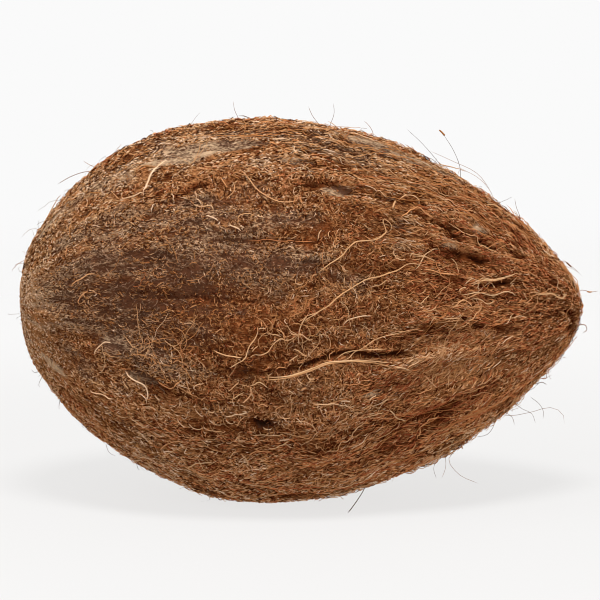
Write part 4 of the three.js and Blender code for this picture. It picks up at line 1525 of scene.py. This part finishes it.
class COCONUT_OT_strands(bpy.types.Operator):
    """Lay the long loose strands"""

    bl_idname = "coconut.strands"
    bl_label = "Loose strands"

    SIDES, RINGS, SHORT_RINGS = 4, 34, 12
    FINENESS = 0.85
    OVER_COAT, SHORT_ROOT_DEPTH = 0.75, 0.5
    # The long strands of the back: their lengths, and how far the free ones stand off.
    LENGTHS = (12, 42)
    FREE_SHARE, FREE = 0.3, (1, 4)
    THICKNESSES, FLATNESSES, PLIES = (0.3, 0.7), (0.6, 1), (1, 1, 3)
    TONE, TONE_SPREAD = 0.74, 0.1

    def execute(self, context):
        random = np.random.RandomState(STRAND_SEED)
        fibre = Fibre(self.SIDES, self.RINGS)
        strands = [(smooth_route(places, fibre.stations), *kind) for places, *kind in FRONT_STRANDS]
        strands += self.back_strands(random, fibre, context.scene.coir_fibres.strand_count)
        plies = [ply for strand in strands for ply in self.plies(random, fibre.share, *strand)]
        routes, radii, tones, flats = (np.array(values) for values in zip(*plies))
        x, degrees, lifts = np.moveaxis(routes, -1, 0)
        hues = random.uniform(0.35, 0.7, len(routes))
        lay_fibres("loose_strands", fibre, x, np.radians(degrees), lifts, radii, flats, tones, hues)
        self.short_strands(random)
        return {"FINISHED"}

    def back_strands(self, random, fibre, count):
        """Strands drawn over the back: route, thickness, tone, flatness and plies."""
        share, steps = fibre.share, fibre.stations - 1
        x, angle = COAT.scatter(random, count, lambda x, angle: smooth(-np.cos(angle), 0.05, 0.4))
        combed = COAT.combed(x, angle)
        length = random.uniform(*self.LENGTHS, count)
        wander = random.normal(0, 0.13, (count, steps)) * (1.2 - 0.8 * combed)[:, None]
        heading = random.normal(0.15, 0.4, count) * (1.2 - combed)
        xs, angles = COAT.walk(x, angle, heading, wander, length / steps)
        free = some(random, count, self.FREE_SHARE, *self.FREE)
        strands = []
        for route in np.stack([xs, np.degrees(angles), free[:, None] * share**4], axis=2):
            tone = np.clip(random.normal(self.TONE, self.TONE_SPREAD), 0.4, 0.96)
            thickness, flat = random.uniform(*self.THICKNESSES), random.uniform(*self.FLATNESSES)
            strands.append((route, thickness, tone, flat, random.choice(self.PLIES)))
        return strands

    def plies(self, random, share, route, thickness, tone, flat, plies):
        """The route, half thicknesses, tones and flatness of each ply of a strand."""
        ends = np.minimum(share, 1 - share)
        for ply in range(plies):
            aside = (ply - (plies - 1) / 2) * thickness / plies
            laid = self.waver(random, route, aside, thickness * (0.1 if plies == 1 else 0.3), share)
            laid[:, 2] += (0.35 * thickness + self.OVER_COAT) * (0.2 + 0.8 * np.minimum(1, ends / 0.06))
            thin = thickness * (0.8 if plies == 1 else 1.25 / plies)
            uneven = 1 + 0.15 * np.sin(share * random.uniform(15, 30) + random.uniform(0, 6))
            radii = thin * self.FINENESS / 2 * MM * uneven * (0.4 + 0.6 * np.minimum(1, ends / 0.2))
            tones = tone - 0.08 + random.normal(0, 0.05) + 0.04 * np.sin(share * random.uniform(9, 20))
            yield laid, radii, tones, flat

    def short_strands(self, random):
        fibre = Fibre(self.SIDES, self.SHORT_RINGS)
        share = fibre.share
        routes = np.array([smooth_route(places, fibre.stations) for places, *_ in SHORT_STRANDS])
        thickness, tone = np.array([kind for _, *kind in SHORT_STRANDS]).T[..., None]
        ends = np.minimum(1, np.minimum(share, 1 - share) / 0.15)
        lifts = self.OVER_COAT + (0.35 * thickness) * ends - self.SHORT_ROOT_DEPTH * (1 - ends)
        uneven = random.uniform(0.85, 1.1, routes.shape[:2])
        radii = thickness * self.FINENESS / 2 * MM * (0.5 + 0.5 * ends) * uneven
        count = len(routes)
        hues = random.uniform(0.2, 0.75, count)
        x, angle = routes[..., 0], np.radians(routes[..., 1])
        tones = tone + 0 * share
        lay_fibres("short_strands", fibre, x, angle, lifts, radii, np.ones(count), tones, hues)

    def waver(self, random, route, aside, loose, share):
        """The route, moved aside by so many mm, with small wavers of its own, and frayed at its ends."""
        ahead = np.gradient(route[:, :2] * (1, math.radians(STRAND_RADIUS)), axis=0)
        ahead /= np.linalg.norm(ahead, axis=1, keepdims=True).clip(TINY)
        shift = aside * (0.75 + 1.2 * np.abs(2 * share - 1) ** 3)
        for waves in (2, 5):
            turn = 2 * math.pi * waves * share + random.uniform(0, 6)
            shift = shift + random.normal(0, 1.4 * loose / waves) * np.sin(turn)
        laid = route.copy()
        laid[:, 0] -= ahead[:, 1] * shift
        laid[:, 1] += np.degrees(ahead[:, 0] * shift / STRAND_RADIUS)
        return laid


class COCONUT_OT_hairs(bpy.types.Operator):
    """Stand thin flyaway hairs off the coat"""

    bl_idname = "coconut.hairs"
    bl_label = "Flyaway hairs"

    SIDES, RINGS = 3, 9
    HALF_THICKNESSES = (0.045, 0.085)
    TONE, TONE_SPREAD = 0.25, 0.14
    LIE = (0.3, 0.4, 0.86)

    def execute(self, context):
        settings = context.scene.coir_fibres
        random = np.random.RandomState(HAIR_SEED)
        fibre = Fibre(self.SIDES, self.RINGS)
        points, share = fibre.stations, fibre.share
        count = settings.hair_count
        x, angle = COAT.scatter(random, count, COAT.calm)
        reach = settings.hair_reach / MM * random.beta(1.2, 3, count)
        length = reach * random.uniform(0.6, 1.8, count) + 1
        heading = random.normal(0, 1.3, count)
        bend = random.normal(0, 0.22, count)
        turns = np.repeat(bend[:, None], points - 1, axis=1)
        xs, angles = COAT.walk(x, angle, heading, turns, length / (points - 1))
        lift = 0.3 + reach[:, None] * np.sin(share * random.uniform(1.1, 2.2, (count, 1)))
        radii = random.uniform(*self.HALF_THICKNESSES, (count, 1)) * MM * (1 - 0.5 * share)
        routes = COAT.point(xs, angles, lift)

        placed = [[(*place, HAIR_DEPTH)[:3] for place in places] for places, _ in OUTLINE_HAIRS]
        placed = np.array([drawn_through(places, points) for places in placed])
        routes = np.concatenate([routes, placed[..., [0, 2, 1]] * MM])
        thick = np.array([thickness for _, thickness in OUTLINE_HAIRS])
        radii = np.concatenate([radii, thick[:, None] / 2 * MM * (0.7 + 0.3 * share)])
        count = len(routes)
        tones = np.clip(random.normal(self.TONE, self.TONE_SPREAD, (count, 1)), 0.02, 0.8) + 0 * share
        hues = random.uniform(0.3, 1, count)
        lies = np.broadcast_to(np.array(self.LIE), routes.shape)
        piece = fibre.sweep("flyaway_hairs", routes, lies, radii, np.ones(count), tones, hues)
        settle(piece, fibre_material())
        return {"FINISHED"}


class COCONUT_OT_stage(bpy.types.Operator):
    """Set the floor, the light and the camera"""

    bl_idname = "coconut.stage"
    bl_label = "Stage"

    # Lengths are in metres here.
    FLOOR_RADIUS = 1.2
    FADE = (0.25, 1.1)  # where the floor fades into the backdrop
    LIT = (0.1, 0.42)  # where it brightens away from the nut
    GLOW_NEAR = (0.743, 0.736, 0.729)
    GLOW_FAR = (0.815, 0.81, 0.805)
    OVERHEAD_PLACE, OVERHEAD_SIZE = (0.02, -0.42, 0.95), 0.34
    SIDE_PLACE, SIDE_SIZE = (-0.9, -0.35, 0.45), 0.6
    FRONT_PLACE, FRONT_SIZE = (0.5, -1.0, 0.12), 0.7

    def execute(self, context):
        settings = context.scene.coconut_stage
        self.floor(settings)
        self.backdrop(context.scene, settings)
        self.light("overhead_light", self.OVERHEAD_PLACE, self.OVERHEAD_SIZE, settings.key_power)
        self.light("side_light", self.SIDE_PLACE, self.SIDE_SIZE, settings.side_power)
        self.light("front_light", self.FRONT_PLACE, self.FRONT_SIZE, settings.front_power)
        self.camera(context.scene, settings)
        return {"FINISHED"}

    def floor(self, settings):
        deselect_all()
        bpy.ops.mesh.primitive_circle_add(
            vertices=64, radius=self.FLOOR_RADIUS, fill_type="NGON", location=(0, 0, 0)
        )
        floor = bpy.context.object
        floor.name = "floor"
        finish = Finish("floor")
        place = finish.node("TexCoord", output="Object")
        away = finish.node("VectorMath", {"operation": "LENGTH"}, {0: place}, output="Value")
        finish.shade(Base_Color=tuple(settings.floor_colour), Roughness=0.9, Specular_IOR_Level=0.1)
        glow = finish.mix(away.step(*self.LIT), self.GLOW_NEAR, self.GLOW_FAR)
        finish.shade(Alpha=1 - away.step(*self.FADE), Emission_Color=glow, Emission_Strength=1.0)
        floor.data.materials.append(finish.material)

    def backdrop(self, scene, settings):
        """Lights the nut from all round, and shows the camera a plain colour instead of that light."""
        world = bpy.data.worlds.new("backdrop")
        world.use_nodes = True
        nodes, links = world.node_tree.nodes, world.node_tree.links
        daylight = nodes["Background"]
        daylight.inputs["Color"].default_value = (1, 1, 1, 1)
        daylight.inputs["Strength"].default_value = settings.daylight
        seen = nodes.new("ShaderNodeBackground")
        seen.inputs["Color"].default_value = (*settings.backdrop_colour, 1)
        rays = nodes.new("ShaderNodeLightPath")
        either = nodes.new("ShaderNodeMixShader")
        links.new(rays.outputs["Is Camera Ray"], either.inputs[0])
        links.new(daylight.outputs[0], either.inputs[1])
        links.new(seen.outputs[0], either.inputs[2])
        links.new(either.outputs[0], nodes["World Output"].inputs["Surface"])
        scene.world = world

    def light(self, name, place, size, power):
        lamp = bpy.data.lights.new(name, "AREA")
        lamp.shape = "DISK"
        lamp.size = size
        lamp.energy = power
        lit = bpy.data.objects.new(name, lamp)
        lit.location = place
        lit.rotation_euler = (Vector(AIM) - Vector(place)).to_track_quat("-Z", "Y").to_euler()
        lit.visible_camera = False
        bpy.context.scene.collection.objects.link(lit)

    def camera(self, scene, settings):
        camera = bpy.data.objects.new("camera", bpy.data.cameras.new("camera"))
        scene.collection.objects.link(camera)
        back = Vector((0, -math.cos(settings.elevation), math.sin(settings.elevation)))
        camera.location = Vector(AIM) + back * settings.distance
        camera.rotation_euler = (-back).to_track_quat("-Z", "Y").to_euler()
        camera.data.lens = settings.lens
        camera.data.sensor_width = SENSOR
        scene.camera = camera
        scene.view_settings.view_transform = "Standard"
        scene.cycles.filter_width = settings.filter_width


class COCONUT_PT_panel(bpy.types.Panel):
    """Lists the steps that make the coconut"""

    bl_label = "Coconut"
    bl_space_type = "VIEW_3D"
    bl_region_type = "UI"
    bl_category = "Coconut"

    def draw(self, context):
        for group in (context.scene.coir_colours, context.scene.coir_fibres, context.scene.coconut_stage):
            for name in group.__annotations__:
                self.layout.prop(group, name)
        for step in STEPS:
            self.layout.operator(step.bl_idname)


STEPS = (
    COCONUT_OT_stage,
    COCONUT_OT_coat,
    COCONUT_OT_grains,
    COCONUT_OT_crumbs,
    COCONUT_OT_fuzz,
    COCONUT_OT_curls,
    COCONUT_OT_strands,
    COCONUT_OT_hairs,
)
CLASSES = (CoirColours, CoirFibres, StageSettings, *STEPS, COCONUT_PT_panel)


def register():
    for each in CLASSES:
        bpy.utils.register_class(each)
    bpy.types.Scene.coir_colours = PointerProperty(type=CoirColours)
    bpy.types.Scene.coir_fibres = PointerProperty(type=CoirFibres)
    bpy.types.Scene.coconut_stage = PointerProperty(type=StageSettings)


def unregister():
    del bpy.types.Scene.coconut_stage
    del bpy.types.Scene.coir_fibres
    del bpy.types.Scene.coir_colours
    for each in reversed(CLASSES):
        bpy.utils.unregister_class(each)


def main():
    register()
    bpy.ops.coconut.stage()
    bpy.ops.coconut.coat()
    bpy.ops.coconut.grains()
    bpy.ops.coconut.crumbs()
    bpy.ops.coconut.fuzz()
    bpy.ops.coconut.curls()
    bpy.ops.coconut.strands()
    bpy.ops.coconut.hairs()


if __name__ == "__main__":
    main()
